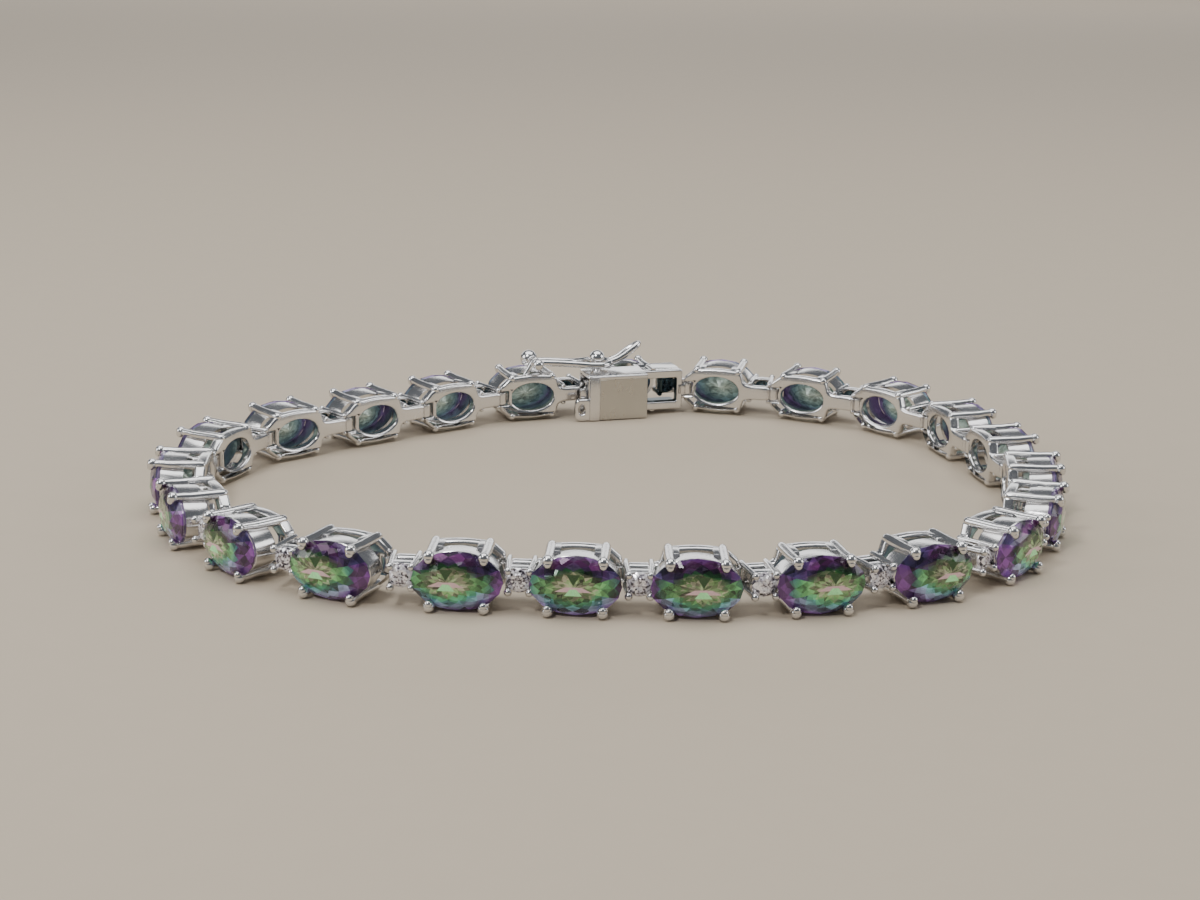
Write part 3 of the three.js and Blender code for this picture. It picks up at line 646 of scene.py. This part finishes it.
def brilliant(bm, half_length, half_width, centre, crown, depth, skew):
    """Brilliant-cut stone, turned by skew degrees; returns the crown's faces."""
    def point(radius, steps, height):
        a = math.radians(steps * 180 / MAINS + skew)
        return bm.verts.new((
            centre.x + half_length * radius * math.cos(a), centre.y + height,
            centre.z + half_width * radius * math.sin(a)))
    star, low = 0.8, 0.26
    lean = math.cos(math.pi / MAINS)
    star_height = crown * (1 - (star * lean - TABLE_SHARE) / (1 - TABLE_SHARE))
    low_height = -depth * (1 - low * lean)
    tops = [point(TABLE_SHARE, 2 * k, crown) for k in range(MAINS)]
    stars = [point(star, 2 * k + 1, star_height) for k in range(MAINS)]
    upper = [point(1, k, 0.03) for k in range(2 * MAINS)]
    lower = [point(1, k, -0.06) for k in range(2 * MAINS)]
    lows = [point(low, 2 * k + 1, low_height) for k in range(MAINS)]
    culet = point(0, 0, -depth)
    crown_faces = [bm.faces.new(tops)]
    for k in range(MAINS):
        n, g, m, h = (k + 1) % MAINS, 2 * k, 2 * k + 1, (2 * k + 2) % (2 * MAINS)
        for corners in ((tops[k], tops[n], stars[k]), (tops[k], stars[k], upper[g], stars[k - 1]),
                        (stars[k], upper[m], upper[g]), (stars[k], upper[h], upper[m])):
            crown_faces.append(bm.faces.new(corners))
        for corners in ((culet, lows[k - 1], lower[g], lows[k]), (lows[k], lower[g], lower[m]),
                        (lows[k], lower[m], lower[h])):
            bm.faces.new(corners)
    for i in range(2 * MAINS):
        j = (i + 1) % (2 * MAINS)
        crown_faces.append(bm.faces.new((upper[i], upper[j], lower[j], lower[i])))
    return crown_faces


def stone_mesh(name, half_length, half_width, centre, crown, depth, skew=0.0):
    """Faceted stone with its crown's faces and local place as attributes."""
    bm = bmesh.new()
    crown_faces = brilliant(bm, half_length, half_width, centre, crown, depth, skew)
    bmesh.ops.recalc_face_normals(bm, faces=bm.faces)
    is_crown = [face in crown_faces for face in bm.faces]
    mesh = new_mesh(bm, name)
    mesh.attributes.new("crown", "BOOLEAN", "FACE").data.foreach_set("value", is_crown)
    size = Vector((half_length, max(crown, depth), half_width))
    local = [c for v in mesh.vertices for c in ((v.co[i] - centre[i]) / size[i] for i in range(3))]
    mesh.attributes.new("local", "FLOAT_VECTOR", "POINT").data.foreach_set("vector", local)
    return mesh


# ---------- node trees

class Nodes:
    """Short way to place and wire the nodes of one tree."""

    def __init__(self, tree):
        self.tree = tree

    def wire(self, node, inputs):
        """Feed a node's inputs, by name or number, each with a value or another node's output."""
        for key, value in dict(inputs).items():
            if isinstance(value, bpy.types.NodeSocket):
                self.tree.links.new(value, node.inputs[key])
            else:
                node.inputs[key].default_value = value

    def new(self, kind, inputs=(), **settings):
        """Outputs of a new node, which is given its settings, then its inputs."""
        node = self.tree.nodes.new(kind)
        for key, value in settings.items():
            setattr(node, key, value)
        self.wire(node, inputs)
        return node.outputs

    def math(self, operation, *terms):
        return self.new("ShaderNodeMath", enumerate(terms), operation=operation)[0]

    def plus(self, a, b):
        return self.math("ADD", a, b)

    def minus(self, a, b):
        return self.math("SUBTRACT", a, b)

    def times(self, a, b):
        return self.math("MULTIPLY", a, b)

    def scaled(self, value, factor, offset):
        return self.math("MULTIPLY_ADD", value, factor, offset)

    def vector(self, operation, inputs):
        return self.new("ShaderNodeVectorMath", inputs, operation=operation)[0]

    def split(self, vector):
        return self.new("ShaderNodeSeparateXYZ", {"Vector": vector})

    def ramp(self, factor, stops):
        """Colour ramp; each stop is its position, red, green and blue."""
        result = self.new("ShaderNodeValToRGB", {"Fac": factor})["Color"]
        elements = result.node.color_ramp.elements
        elements.remove(elements[-1])
        for i, (position, *colour) in enumerate(stops):
            element = elements.new(position) if i else elements[0]
            element.position, element.color = position, (*colour, 1)
        return result

    def mix(self, factor, a, b, blend="MIX"):
        inputs = {"Factor": factor, "A": a, "B": b}
        return self.new("ShaderNodeMix", inputs, data_type="RGBA", blend_type=blend)["Result"]

    def rise(self, value, low, high):
        """Smooth step from 0 at low to 1 at high."""
        inputs = {"Value": value, "From Min": low, "From Max": high}
        return self.new("ShaderNodeMapRange", inputs, interpolation_type="SMOOTHSTEP")["Result"]


def node_group(name, kind, inputs, outputs):
    """New tree with sockets given by name, type and default: its nodes, inputs and sink."""
    tree = bpy.data.node_groups.new(name, kind)
    for title, socket, default in inputs:
        made = tree.interface.new_socket(title, in_out="INPUT", socket_type="NodeSocket" + socket)
        if default is not None:
            made.default_value = default
    for title, socket in outputs:
        tree.interface.new_socket(title, in_out="OUTPUT", socket_type="NodeSocket" + socket)
    n = Nodes(tree)
    return n, n.new("NodeGroupInput"), tree.nodes.new("NodeGroupOutput")


# ---------- rows of like pieces

def row_tree():
    """Geometry Nodes tree that stands a pattern piece at every place of the loop, turned to its heading."""
    n, source, sink = node_group(
        "loop_row", "GeometryNodeTree",
        (("Places", "Geometry", None), ("Pattern", "Object", None), ("Body finish", "Material", None),
         ("Crown finish", "Material", None), ("Seed", "Int", 7), ("Size", "Float", 1.0)),
        (("Row", "Geometry"),))
    pattern = n.new("GeometryNodeObjectInfo", {"Object": source["Pattern"]})
    heading = n.new("GeometryNodeInputNamedAttribute", {"Name": "heading"}, data_type="FLOAT")
    euler = n.new("ShaderNodeCombineXYZ", {"Z": heading["Attribute"]})
    turn = n.new("FunctionNodeEulerToRotation", {"Euler": euler["Vector"]})
    stand = n.new("GeometryNodeInstanceOnPoints", {
        "Points": source["Places"], "Instance": pattern["Geometry"],
        "Rotation": turn["Rotation"], "Scale": source["Size"]})
    chance = n.new("FunctionNodeRandomValue", {"Seed": source["Seed"]}, data_type="FLOAT")
    named = {"Geometry": stand["Instances"], "Name": "piece", "Value": chance[1]}
    keep = n.new("GeometryNodeStoreNamedAttribute", named, data_type="FLOAT", domain="INSTANCE")
    realize = n.new("GeometryNodeRealizeInstances", {"Geometry": keep["Geometry"]})
    dressed = {"Geometry": realize["Geometry"], "Material": source["Body finish"]}
    body = n.new("GeometryNodeSetMaterial", dressed)
    is_crown = n.new("GeometryNodeInputNamedAttribute", {"Name": "crown"}, data_type="BOOLEAN")
    crown = n.new("GeometryNodeSetMaterial", {
        "Geometry": body["Geometry"], "Selection": is_crown["Attribute"],
        "Material": source["Crown finish"]})
    n.wire(sink, {"Row": crown["Geometry"]})
    return n.tree


def place_points(lifts):
    """Points at the chosen settings with their headings; lifts maps an index to its rise outwards."""
    mesh = bpy.data.meshes.new("places")
    points = [placing(i) @ Vector((0, lift, 0)) for i, lift in lifts.items()]
    mesh.from_pydata(points, [], [])
    headings = [PLACES[i][1] for i in lifts]
    mesh.attributes.new("heading", "FLOAT", "POINT").data.foreach_set("value", headings)
    return mesh


def row(name, pattern_mesh, lifts, finish, crown_finish, seed):
    """Plain mesh object of a pattern repeated round the loop."""
    pattern_mesh.transform(Matrix.Scale(MM, 4))
    pattern = new_object(name + "_pattern", pattern_mesh)
    host = new_object(name + "_host", place_points(lifts))
    tree = bpy.data.node_groups.get("loop_row") or row_tree()
    modifier = host.modifiers.new("row", "NODES")
    modifier.node_group = tree
    named = {s.name: s.identifier for s in tree.interface.items_tree if s.in_out == "INPUT"}
    modifier[named["Pattern"]] = pattern
    modifier[named["Body finish"]] = finish
    modifier[named["Crown finish"]] = crown_finish
    modifier[named["Seed"]] = seed
    bpy.context.view_layer.update()
    graph = bpy.context.evaluated_depsgraph_get()
    mesh = bpy.data.meshes.new_from_object(
        host.evaluated_get(graph), preserve_all_data_layers=True, depsgraph=graph)
    mesh.name = name
    host.modifiers.remove(modifier)
    bpy.data.objects.remove(host)
    bpy.data.objects.remove(pattern)
    return add_piece(name, mesh)


def add_piece(name, mesh, material=None, matrix=None):
    """Object of a mesh, which is moved by the matrix and gets the material as its next one."""
    if matrix is not None:
        mesh.transform(matrix)
    if material is not None:
        mesh.materials.append(material)
    return new_object(name, mesh)


# ---------- materials

def shaded(name, inputs):
    """New material, its nodes and its Principled shader with the given inputs."""
    material = bpy.data.materials.new(name)
    material.use_nodes = True
    n = Nodes(material.node_tree)
    shader = n.tree.nodes["Principled BSDF"]
    n.wire(shader, inputs)
    return material, n, shader


def polish_group():
    """Masks of polished silver: fine handling scratches, soft cloudiness and a small height."""
    n, source, sink = node_group(
        "silver_polish", "ShaderNodeTree",
        (("Scratch scale", "Float", 900.0), ("Cloud scale", "Float", 260.0), ("Roughness", "Float", 0.1),
         ("Spread", "Float", 0.08)),
        (("Roughness", "Float"), ("Tone", "Float"), ("Height", "Float")))
    place = n.new("ShaderNodeTexCoord")["Object"]
    stretch = n.new("ShaderNodeMapping", {
        "Vector": place, "Rotation": (0.4, 0.9, 0.3), "Scale": (1.0, 9.0, 1.0)})
    scratch = n.new("ShaderNodeTexNoise", {
        "Vector": stretch["Vector"], "Scale": source["Scratch scale"], "Detail": 4.0})
    cloud = n.new("ShaderNodeTexNoise", {"Vector": place, "Scale": source["Cloud scale"], "Detail": 3.0})
    both = n.times(scratch["Fac"], cloud["Fac"])
    n.wire(sink, {
        "Roughness": n.scaled(both, source["Spread"], source["Roughness"]),
        "Tone": cloud["Fac"], "Height": scratch["Fac"]})
    return n.tree


def silver(name, roughness, spread, bump, bright=None, dull=None):
    """Polished silver with its roughness and strength of scratches, and its own tones if given."""
    bright, dull = bright or values().bright_silver, dull or values().dull_silver
    material, n, shader = shaded(name, {"Metallic": 1.0})
    polish = n.new("ShaderNodeGroup", {"Roughness": roughness, "Spread": spread},
                   node_tree=bpy.data.node_groups.get("silver_polish") or polish_group())
    relief = n.new("ShaderNodeBump", {"Strength": bump, "Distance": 0.00002, "Height": polish["Height"]})
    n.wire(shader, {
        "Base Color": n.mix(polish["Tone"], (*dull, 1), (*bright, 1)),
        "Roughness": polish["Roughness"], "Normal": relief["Normal"]})
    return material


def lattice(n, radius, angle, piece, rings):
    """Kite-shaped cells round a stone's middle: radius and angle of each cell and its white noise."""
    sector = n.times(angle, MAINS / math.pi)
    wave = n.times(n.math("PINGPONG", sector, 1.0), 0.85)
    out = n.times(radius, rings)
    rising, falling = n.math("FLOOR", n.plus(out, wave)), n.math("FLOOR", n.minus(out, wave))
    middle = n.math("ROUND", n.times(sector, 0.5))
    cell = n.new("ShaderNodeCombineXYZ", {"X": n.scaled(piece, 17.0, rising), "Y": falling, "Z": middle})
    noise = n.new("ShaderNodeTexWhiteNoise", {"Vector": cell["Vector"]}, noise_dimensions="3D")
    level = n.times(n.plus(n.plus(rising, falling), 1.0), 0.5 / rings)
    return level, n.times(middle, 2 * math.pi / MAINS), noise


def fire_group():
    """Painted facets seen through a cut stone, standing in for its reflections: quantised radius and height,
    chances of each facet and its tilt.
    """
    n, source, sink = node_group(
        "stone_fire", "ShaderNodeTree",
        (("Place", "Vector", None), ("Piece", "Float", None), ("Tilt", "Float", 0.3)),
        (("Radius", "Float"), ("Height", "Float"), ("Chance", "Float"), ("Glint", "Float"),
         ("Normal", "Vector")))
    place, piece = n.split(source["Place"]), source["Piece"]
    x, z = place["X"], place["Z"]
    radius = n.math("SQRT", n.plus(n.times(x, x), n.times(z, z)))
    angle = n.math("ARCTAN2", z, x)
    level, turn, coarse = lattice(n, radius, angle, piece, 3.6)
    fine = lattice(n, radius, n.plus(angle, math.pi / MAINS), piece, 6.3)[2]
    height = n.times(level, n.math("SINE", turn))
    spread = n.new("ShaderNodeSeparateColor", {"Color": fine["Color"]})
    lean = n.vector("SUBTRACT", {0: coarse["Color"], 1: (0.5, 0.5, 0.5)})
    lean = n.vector("SCALE", {0: lean, "Scale": source["Tilt"]})
    normal = n.vector("ADD", {0: n.new("ShaderNodeNewGeometry")["Normal"], 1: lean})
    n.wire(sink, {
        "Radius": n.plus(n.times(level, 0.6), n.times(radius, 0.4)),
        "Height": n.plus(n.times(height, 0.55), n.times(z, 0.45)),
        "Chance": n.plus(n.times(coarse["Value"], 0.6), n.times(fine["Value"], 0.4)),
        "Glint": spread["Green"], "Normal": n.vector("NORMALIZE", {0: normal})})
    return n.tree


def fire(n, tilt):
    """Outputs of the stone_fire group, and the distance from a stone's middle aside and up."""
    local = n.new("ShaderNodeAttribute", attribute_name="local")["Vector"]
    piece = n.new("ShaderNodeAttribute", attribute_name="piece")["Fac"]
    where = n.split(n.new("ShaderNodeTexCoord")["Object"])
    # Painted reflection: the stone's colours slide sideways by where it sits round the loop.
    lean = n.new("ShaderNodeCombineXYZ", {"X": n.times(n.times(where["X"], where["Y"]), PAINTED_REFLECTION_LEAN)})
    place = n.vector("SUBTRACT", {0: local, 1: lean["Vector"]})
    group = n.new("ShaderNodeGroup", {"Place": place, "Piece": piece, "Tilt": tilt},
                  node_tree=bpy.data.node_groups.get("stone_fire") or fire_group())
    own = n.split(place)
    aside = n.plus(own["X"], n.scaled(piece, 0.16, -0.08))
    return group, n.math("ABSOLUTE", aside), own["Z"]


def painted(name, metallic, coat):
    """New opaque material whose Principled shader has a clear coat."""
    return shaded(name, {
        "Metallic": metallic, "Coat Weight": coat, "Coat Roughness": 0.02, "Coat IOR": 1.45})


def colour_stone(n, shader, colour, painted_glow, roughness):
    """Paint a stone and give it a painted glow in its own colour, standing in for light coming through it."""
    n.wire(shader, {
        "Base Color": colour, "Emission Color": colour, "Emission Strength": painted_glow, "Roughness": roughness})


def dart(n, aside, z, slope, width, middle, reach, soft):
    """Mask of a wedge whose half width changes by slope with z, cut off above and below."""
    edge = n.minus(n.scaled(z, slope, width), aside)
    return n.times(n.rise(edge, 0.0, 0.02), n.rise(n.math("ABSOLUTE", n.plus(z, middle)), reach, soft))


def coated_crown(name):
    """Front of a coated stone, painted: the coating's green and rose in the middle, purple above and outside
    and lilac blue below, mixed with painted reflections, sparkle and highlights of its facets.
    """
    material, n, shader = painted(name, 0.2, 0.75)
    group, aside, z = fire(n, 0.35)
    radius, height, chance, glint = (group[key] for key in ("Radius", "Height", "Chance", "Glint"))
    middle = n.ramp(radius, [
        (0.0, 0.32, 0.42, 0.22), (0.2, 0.26, 0.37, 0.18), (0.4, 0.20, 0.35, 0.14),
        (0.55, 0.13, 0.35, 0.12), (0.78, 0.08, 0.28, 0.11), (0.88, 0.04, 0.10, 0.13),
        (0.94, 0.05, 0.025, 0.09), (1.0, 0.16, 0.05, 0.22)])
    above = n.ramp(radius, [
        (0.0, 0.25, 0.30, 0.16), (0.2, 0.18, 0.24, 0.09), (0.36, 0.08, 0.15, 0.04),
        (0.48, 0.02, 0.085, 0.02), (0.6, 0.012, 0.04, 0.018), (0.7, 0.035, 0.014, 0.05),
        (0.84, 0.11, 0.022, 0.11), (1.0, 0.07, 0.02, 0.11)])
    below = n.ramp(radius, [
        (0.0, 0.32, 0.42, 0.22), (0.2, 0.22, 0.34, 0.12), (0.4, 0.12, 0.32, 0.10),
        (0.55, 0.08, 0.34, 0.17), (0.66, 0.10, 0.34, 0.32), (0.76, 0.22, 0.33, 0.46),
        (0.90, 0.28, 0.28, 0.48), (1.0, 0.17, 0.07, 0.27)])
    above = n.mix(n.times(n.rise(aside, 0.4, 0.8), 0.75), above, (0.055, 0.05, 0.13, 1))
    colour = n.mix(n.rise(height, 0.1, 0.4), middle, above)
    colour = n.mix(n.rise(height, -0.15, -0.42), colour, below)
    rose = n.times(n.rise(glint, 0.5, 0.7), n.rise(radius, 0.6, 0.4))
    colour = n.mix(n.times(rose, 0.55), colour, (0.42, 0.33, 0.27, 1))
    # Painted sparkle: each facet made darker or lighter at random, standing in for the light it reflects.
    painted_sparkle = n.ramp(chance, [(0.15, 0.12, 0.12, 0.12), (0.5, 0.75, 0.75, 0.75), (0.85, 1.9, 1.9, 1.9)])
    colour = n.mix(1.0, colour, painted_sparkle, "MULTIPLY")
    # Painted reflection: a dark green triangle hanging from the top of the table.
    hanging_reflection = n.minus(n.times(n.minus(z, 0.06), 0.38), aside)
    hanging_reflection = n.times(n.rise(hanging_reflection, 0.0, 0.015), n.rise(z, 0.48, 0.44))
    colour = n.mix(hanging_reflection, colour, (0.02, 0.07, 0.02, 1))
    # Painted highlights: a white-pink wedge and a narrow bright green one in the middle of the table.
    colour = n.mix(dart(n, aside, z, -1.3, 0.22, 0.05, 0.09, 0.07), colour, (0.75, 0.50, 0.52, 1))
    colour = n.mix(dart(n, aside, z, -0.5, 0.06, 0.15, 0.12, 0.1), colour, (0.42, 1.0, 0.45, 1))
    colour_stone(n, shader, colour, 0.12, n.scaled(glint, 0.25, 0.1))
    n.wire(shader, {"Normal": group["Normal"]})
    return material


def coated_back(name):
    """Back facets of a coated stone: grey green in the middle, teal and violet towards the edge, with painted
    sparkle and a painted glow.
    """
    material, n, shader = painted(name, 0.3, 0.6)
    group = fire(n, 0.2)[0]
    colour = n.ramp(group["Radius"], [
        (0.0, 0.36, 0.42, 0.35), (0.4, 0.26, 0.34, 0.30), (0.75, 0.13, 0.21, 0.23),
        (1.0, 0.14, 0.09, 0.20)])
    # Painted sparkle: each back facet made darker or lighter at random, standing in for the light it
    # reflects.
    painted_sparkle = n.ramp(group["Chance"], [(0.1, 0.45, 0.45, 0.45), (0.9, 1.6, 1.6, 1.6)])
    colour = n.mix(1.0, colour, painted_sparkle, "MULTIPLY")
    colour_stone(n, shader, colour, 0.3, n.scaled(group["Glint"], 0.2, 0.1))
    return material


def clear_fire(name, light):
    """Small clear stone: painted sparkle of white, grey and nearly black facets by turns, standing in for
    reflections, multiplied by the given light colour.
    """
    material, n, shader = painted(name, 0.5, 1.0)
    group = fire(n, 0.7)[0]
    # Painted sparkle: facets white, grey or nearly black at random, standing in for reflections.
    painted_sparkle = n.ramp(group["Chance"], [
        (0.25, 0.02, 0.015, 0.025), (0.4, 0.20, 0.18, 0.21), (0.5, 0.70, 0.65, 0.70),
        (0.62, 1.0, 0.98, 1.0)])
    painted_sparkle = n.mix(1.0, painted_sparkle, (*light, 1), "MULTIPLY")
    colour_stone(n, shader, painted_sparkle, 0.15, n.scaled(group["Glint"], 0.2, 0.04))
    n.wire(shader, {"Normal": group["Normal"]})
    return material


def paper(name, colour):
    """Matt paper with a fine grain in its tone."""
    material, n, shader = shaded(name, {"Roughness": 0.8})
    place = n.new("ShaderNodeTexCoord")["Object"]
    grain = n.new("ShaderNodeTexNoise", {"Vector": place, "Scale": 400.0})["Fac"]
    dark = [c * 0.97 for c in colour]
    n.wire(shader, {"Base Color": n.mix(grain, (*dark, 1), (*colour, 1))})
    return material


# ---------- operators

class BraceletSettings(bpy.types.PropertyGroup):
    stone_length: bpy.props.FloatProperty(
        name="Stone length", description="Length of an oval stone", default=0.006, subtype="DISTANCE")
    stone_width: bpy.props.FloatProperty(
        name="Stone width", description="Width of an oval stone", default=0.004, subtype="DISTANCE")
    accent_diameter: bpy.props.FloatProperty(
        name="Small stone", description="Diameter of a round stone", default=0.00166, subtype="DISTANCE")
    wire_radius: bpy.props.FloatProperty(
        name="Catch wire", description="Radius of the catch's wire", default=0.00028, subtype="DISTANCE")
    bright_silver: bpy.props.FloatVectorProperty(
        name="Bright silver", description="Lightest tone of the silver", size=3, subtype="COLOR",
        default=(0.90, 0.89, 0.88))
    dull_silver: bpy.props.FloatVectorProperty(
        name="Dull silver", description="Darkest tone of the silver", size=3, subtype="COLOR",
        default=(0.64, 0.63, 0.63))
    floor_colour: bpy.props.FloatVectorProperty(
        name="Floor", description="Colour of the floor", size=3, subtype="COLOR", default=(0.58, 0.49, 0.375))


def values():
    """Settings of the panel."""
    return bpy.context.scene.bracelet_settings


class BRACELET_OT_link_settings(bpy.types.Operator):
    """Silver castings of the 22 links"""
    bl_idname = "bracelet.link_settings"
    bl_label = "Link settings"

    def execute(self, context):
        metal = silver("cast_silver", 0.13, 0.3, 0.4)
        level = {i: 0.0 for i in range(LINKS)}
        piece = row("link_settings", link_casting(), level, metal, metal, seed=3)
        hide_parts(*[f"link_{i + 1:02d}" for i in range(LINKS)])
        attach(piece, "bracelet")
        knuckle = add_piece("catch_knuckle", knuckle_mesh(), metal, placing(LINKS - 1))
        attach(knuckle, "bracelet")
        return {"FINISHED"}


class BRACELET_OT_oval_stones(bpy.types.Operator):
    """The 23 coated oval stones"""
    bl_idname = "bracelet.oval_stones"
    bl_label = "Oval stones"

    def execute(self, context):
        back, crown = coated_back("stone_back"), coated_crown("stone_crown")
        mesh = stone_mesh(
            "oval_stone", values().stone_length / MM / 2, values().stone_width / MM / 2,
            Vector((0, GIRDLE_OUT, 0)), CROWN_HEIGHT, PAVILION_DEPTH)
        lifts = {i: 0.0 for i in range(LINKS)}
        lifts[LINKS] = CLASP_LIFT
        piece = row("oval_stones", mesh, lifts, back, crown, seed=11)
        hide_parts(*[f"stone_{i + 1:02d}" for i in range(LINKS)], "clasp_stone")
        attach(piece, "bracelet")
        return {"FINISHED"}


class BRACELET_OT_round_stones(bpy.types.Operator):
    """The 23 small round stones"""
    bl_idname = "bracelet.round_stones"
    bl_label = "Small round stones"

    def execute(self, context):
        facets = clear_fire("clear_stone", (1.0, 1.0, 1.0))
        # The round stones' backs are painted dark as shade.
        painted_shade_finish = clear_fire("clear_stone_painted_shade", (0.10, 0.17, 0.19))
        radius = values().accent_diameter / MM / 2
        mesh = stone_mesh(
            "round_stone", radius, radius, Vector((ACCENT_ALONG, ACCENT_GIRDLE, 0)),
            ACCENT_CROWN, ACCENT_DEPTH, skew=10)
        level = {i: 0.0 for i in range(LINKS + 1)}
        piece = row("round_stones", mesh, level, painted_shade_finish, facets, seed=5)
        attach(piece, "bracelet")
        return {"FINISHED"}


class BRACELET_OT_clasp_box(bpy.types.Operator):
    """Clasp box with its stone's claws, window frame, small setting, eyelet and catch ball"""
    bl_idname = "bracelet.clasp_box"
    bl_label = "Clasp box"

    def execute(self, context):
        mesh = joined("clasp_casting", box_mesh(), plate_mesh(), fittings_mesh())
        piece = add_piece("clasp_casting", mesh, silver("clasp_silver", 0.1, 0.3, 0.4), placing(LINKS))
        # The third material paints the inside of the window dark as shade.
        for material in (
                silver("plate_silver", 0.24, 0.2, 0.12, (0.64, 0.62, 0.57), (0.50, 0.485, 0.45)),
                silver("painted_shade_silver", 0.3, 0.2, 0.5, (0.13, 0.19, 0.21), (0.04, 0.06, 0.07))):
            mesh.materials.append(material)
        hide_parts("clasp_box")
        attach(piece, "bracelet")
        return {"FINISHED"}


class BRACELET_OT_clasp_tongue(bpy.types.Operator):
    """Folded spring tongue with its fork, pin and thumb tab"""
    bl_idname = "bracelet.clasp_tongue"
    bl_label = "Clasp tongue"

    def execute(self, context):
        metal = silver("tongue_silver", 0.12, 0.3, 0.3)
        piece = add_piece("clasp_spring", tongue_mesh(), metal, placing(LINKS))
        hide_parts("clasp_tongue")
        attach(piece, "bracelet")
        return {"FINISHED"}


class BRACELET_OT_safety_catch(bpy.types.Operator):
    """Figure-eight wire catch with its two eyelets and bent-up grip"""
    bl_idname = "bracelet.safety_catch"
    bl_label = "Safety catch"

    def execute(self, context):
        mesh = catch_mesh(values().wire_radius / MM)
        piece = add_piece("catch_wire", mesh, silver("wire_silver", 0.06, 0.2, 0.2), placing(LINKS - 1))
        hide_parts("safety_catch")
        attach(piece, "safety_catch")
        return {"FINISHED"}


class BRACELET_OT_stage(bpy.types.Operator):
    """Floor, soft studio light and the camera"""
    bl_idname = "bracelet.stage"
    bl_label = "Stage"

    def execute(self, context):
        scene = context.scene
        mesh = bpy.data.meshes.new("floor")
        corners = ((-1, -1), (1, -1), (1, 1), (-1, 1))
        mesh.from_pydata([(FLOOR_HALF * x, FLOOR_HALF * y, 0) for x, y in corners], [], [(0, 1, 2, 3)])
        floor = add_piece("floor", mesh, paper("floor_paper", values().floor_colour))
        scene.world = bpy.data.worlds.new("studio")
        scene.world.use_nodes = True
        sky = scene.world.node_tree.nodes["Background"].inputs
        sky["Color"].default_value, sky["Strength"].default_value = (0.80, 0.86, 0.95, 1), 0.15
        for name, place, width, height, power in LAMPS:
            light = bpy.data.lights.new(name, "AREA")
            light.shape, light.size, light.size_y, light.energy = "RECTANGLE", width, height, power
            lamp = new_object(name, light)
            lamp.location = place
            lamp.rotation_euler = (Vector((0, 0, 0)) - Vector(place)).to_track_quat("-Z", "Y").to_euler()
        camera = bpy.data.cameras.new("camera")
        camera.sensor_width, camera.lens = 36.0, CAMERA_LENS
        camera.clip_start, camera.clip_end = 0.01, 10.0
        view = new_object("camera", camera)
        view.matrix_world = (
            Matrix.Translation(CAMERA_PLACE) @ Matrix.Rotation(math.radians(90 - CAMERA_DOWN), 4, "X")
            @ Matrix.Rotation(CAMERA_ROLL, 4, "Z"))
        scene.camera = view
        return {"FINISHED"}


OPERATORS = (
    BRACELET_OT_link_settings, BRACELET_OT_oval_stones, BRACELET_OT_round_stones, BRACELET_OT_clasp_box,
    BRACELET_OT_clasp_tongue, BRACELET_OT_safety_catch, BRACELET_OT_stage,
)


class BRACELET_PT_panel(bpy.types.Panel):
    """Lists the pieces of the bracelet"""
    bl_label = "Tennis Bracelet"
    bl_idname = "BRACELET_PT_panel"
    bl_space_type = "VIEW_3D"
    bl_region_type = "UI"
    bl_category = "Bracelet"

    def draw(self, context):
        for name in BraceletSettings.__annotations__:
            self.layout.prop(context.scene.bracelet_settings, name)
        for operator in OPERATORS:
            self.layout.operator(operator.bl_idname)


CLASSES = (BraceletSettings, *OPERATORS, BRACELET_PT_panel)


def register():
    for cls in CLASSES:
        bpy.utils.register_class(cls)
    bpy.types.Scene.bracelet_settings = bpy.props.PointerProperty(type=BraceletSettings)


def unregister():
    del bpy.types.Scene.bracelet_settings
    for cls in reversed(CLASSES):
        bpy.utils.unregister_class(cls)


def main():
    register()
    bpy.ops.bracelet.link_settings()
    bpy.ops.bracelet.oval_stones()
    bpy.ops.bracelet.round_stones()
    bpy.ops.bracelet.clasp_box()
    bpy.ops.bracelet.clasp_tongue()
    bpy.ops.bracelet.safety_catch()
    bpy.ops.bracelet.stage()


if __name__ == "__main__":
    main()
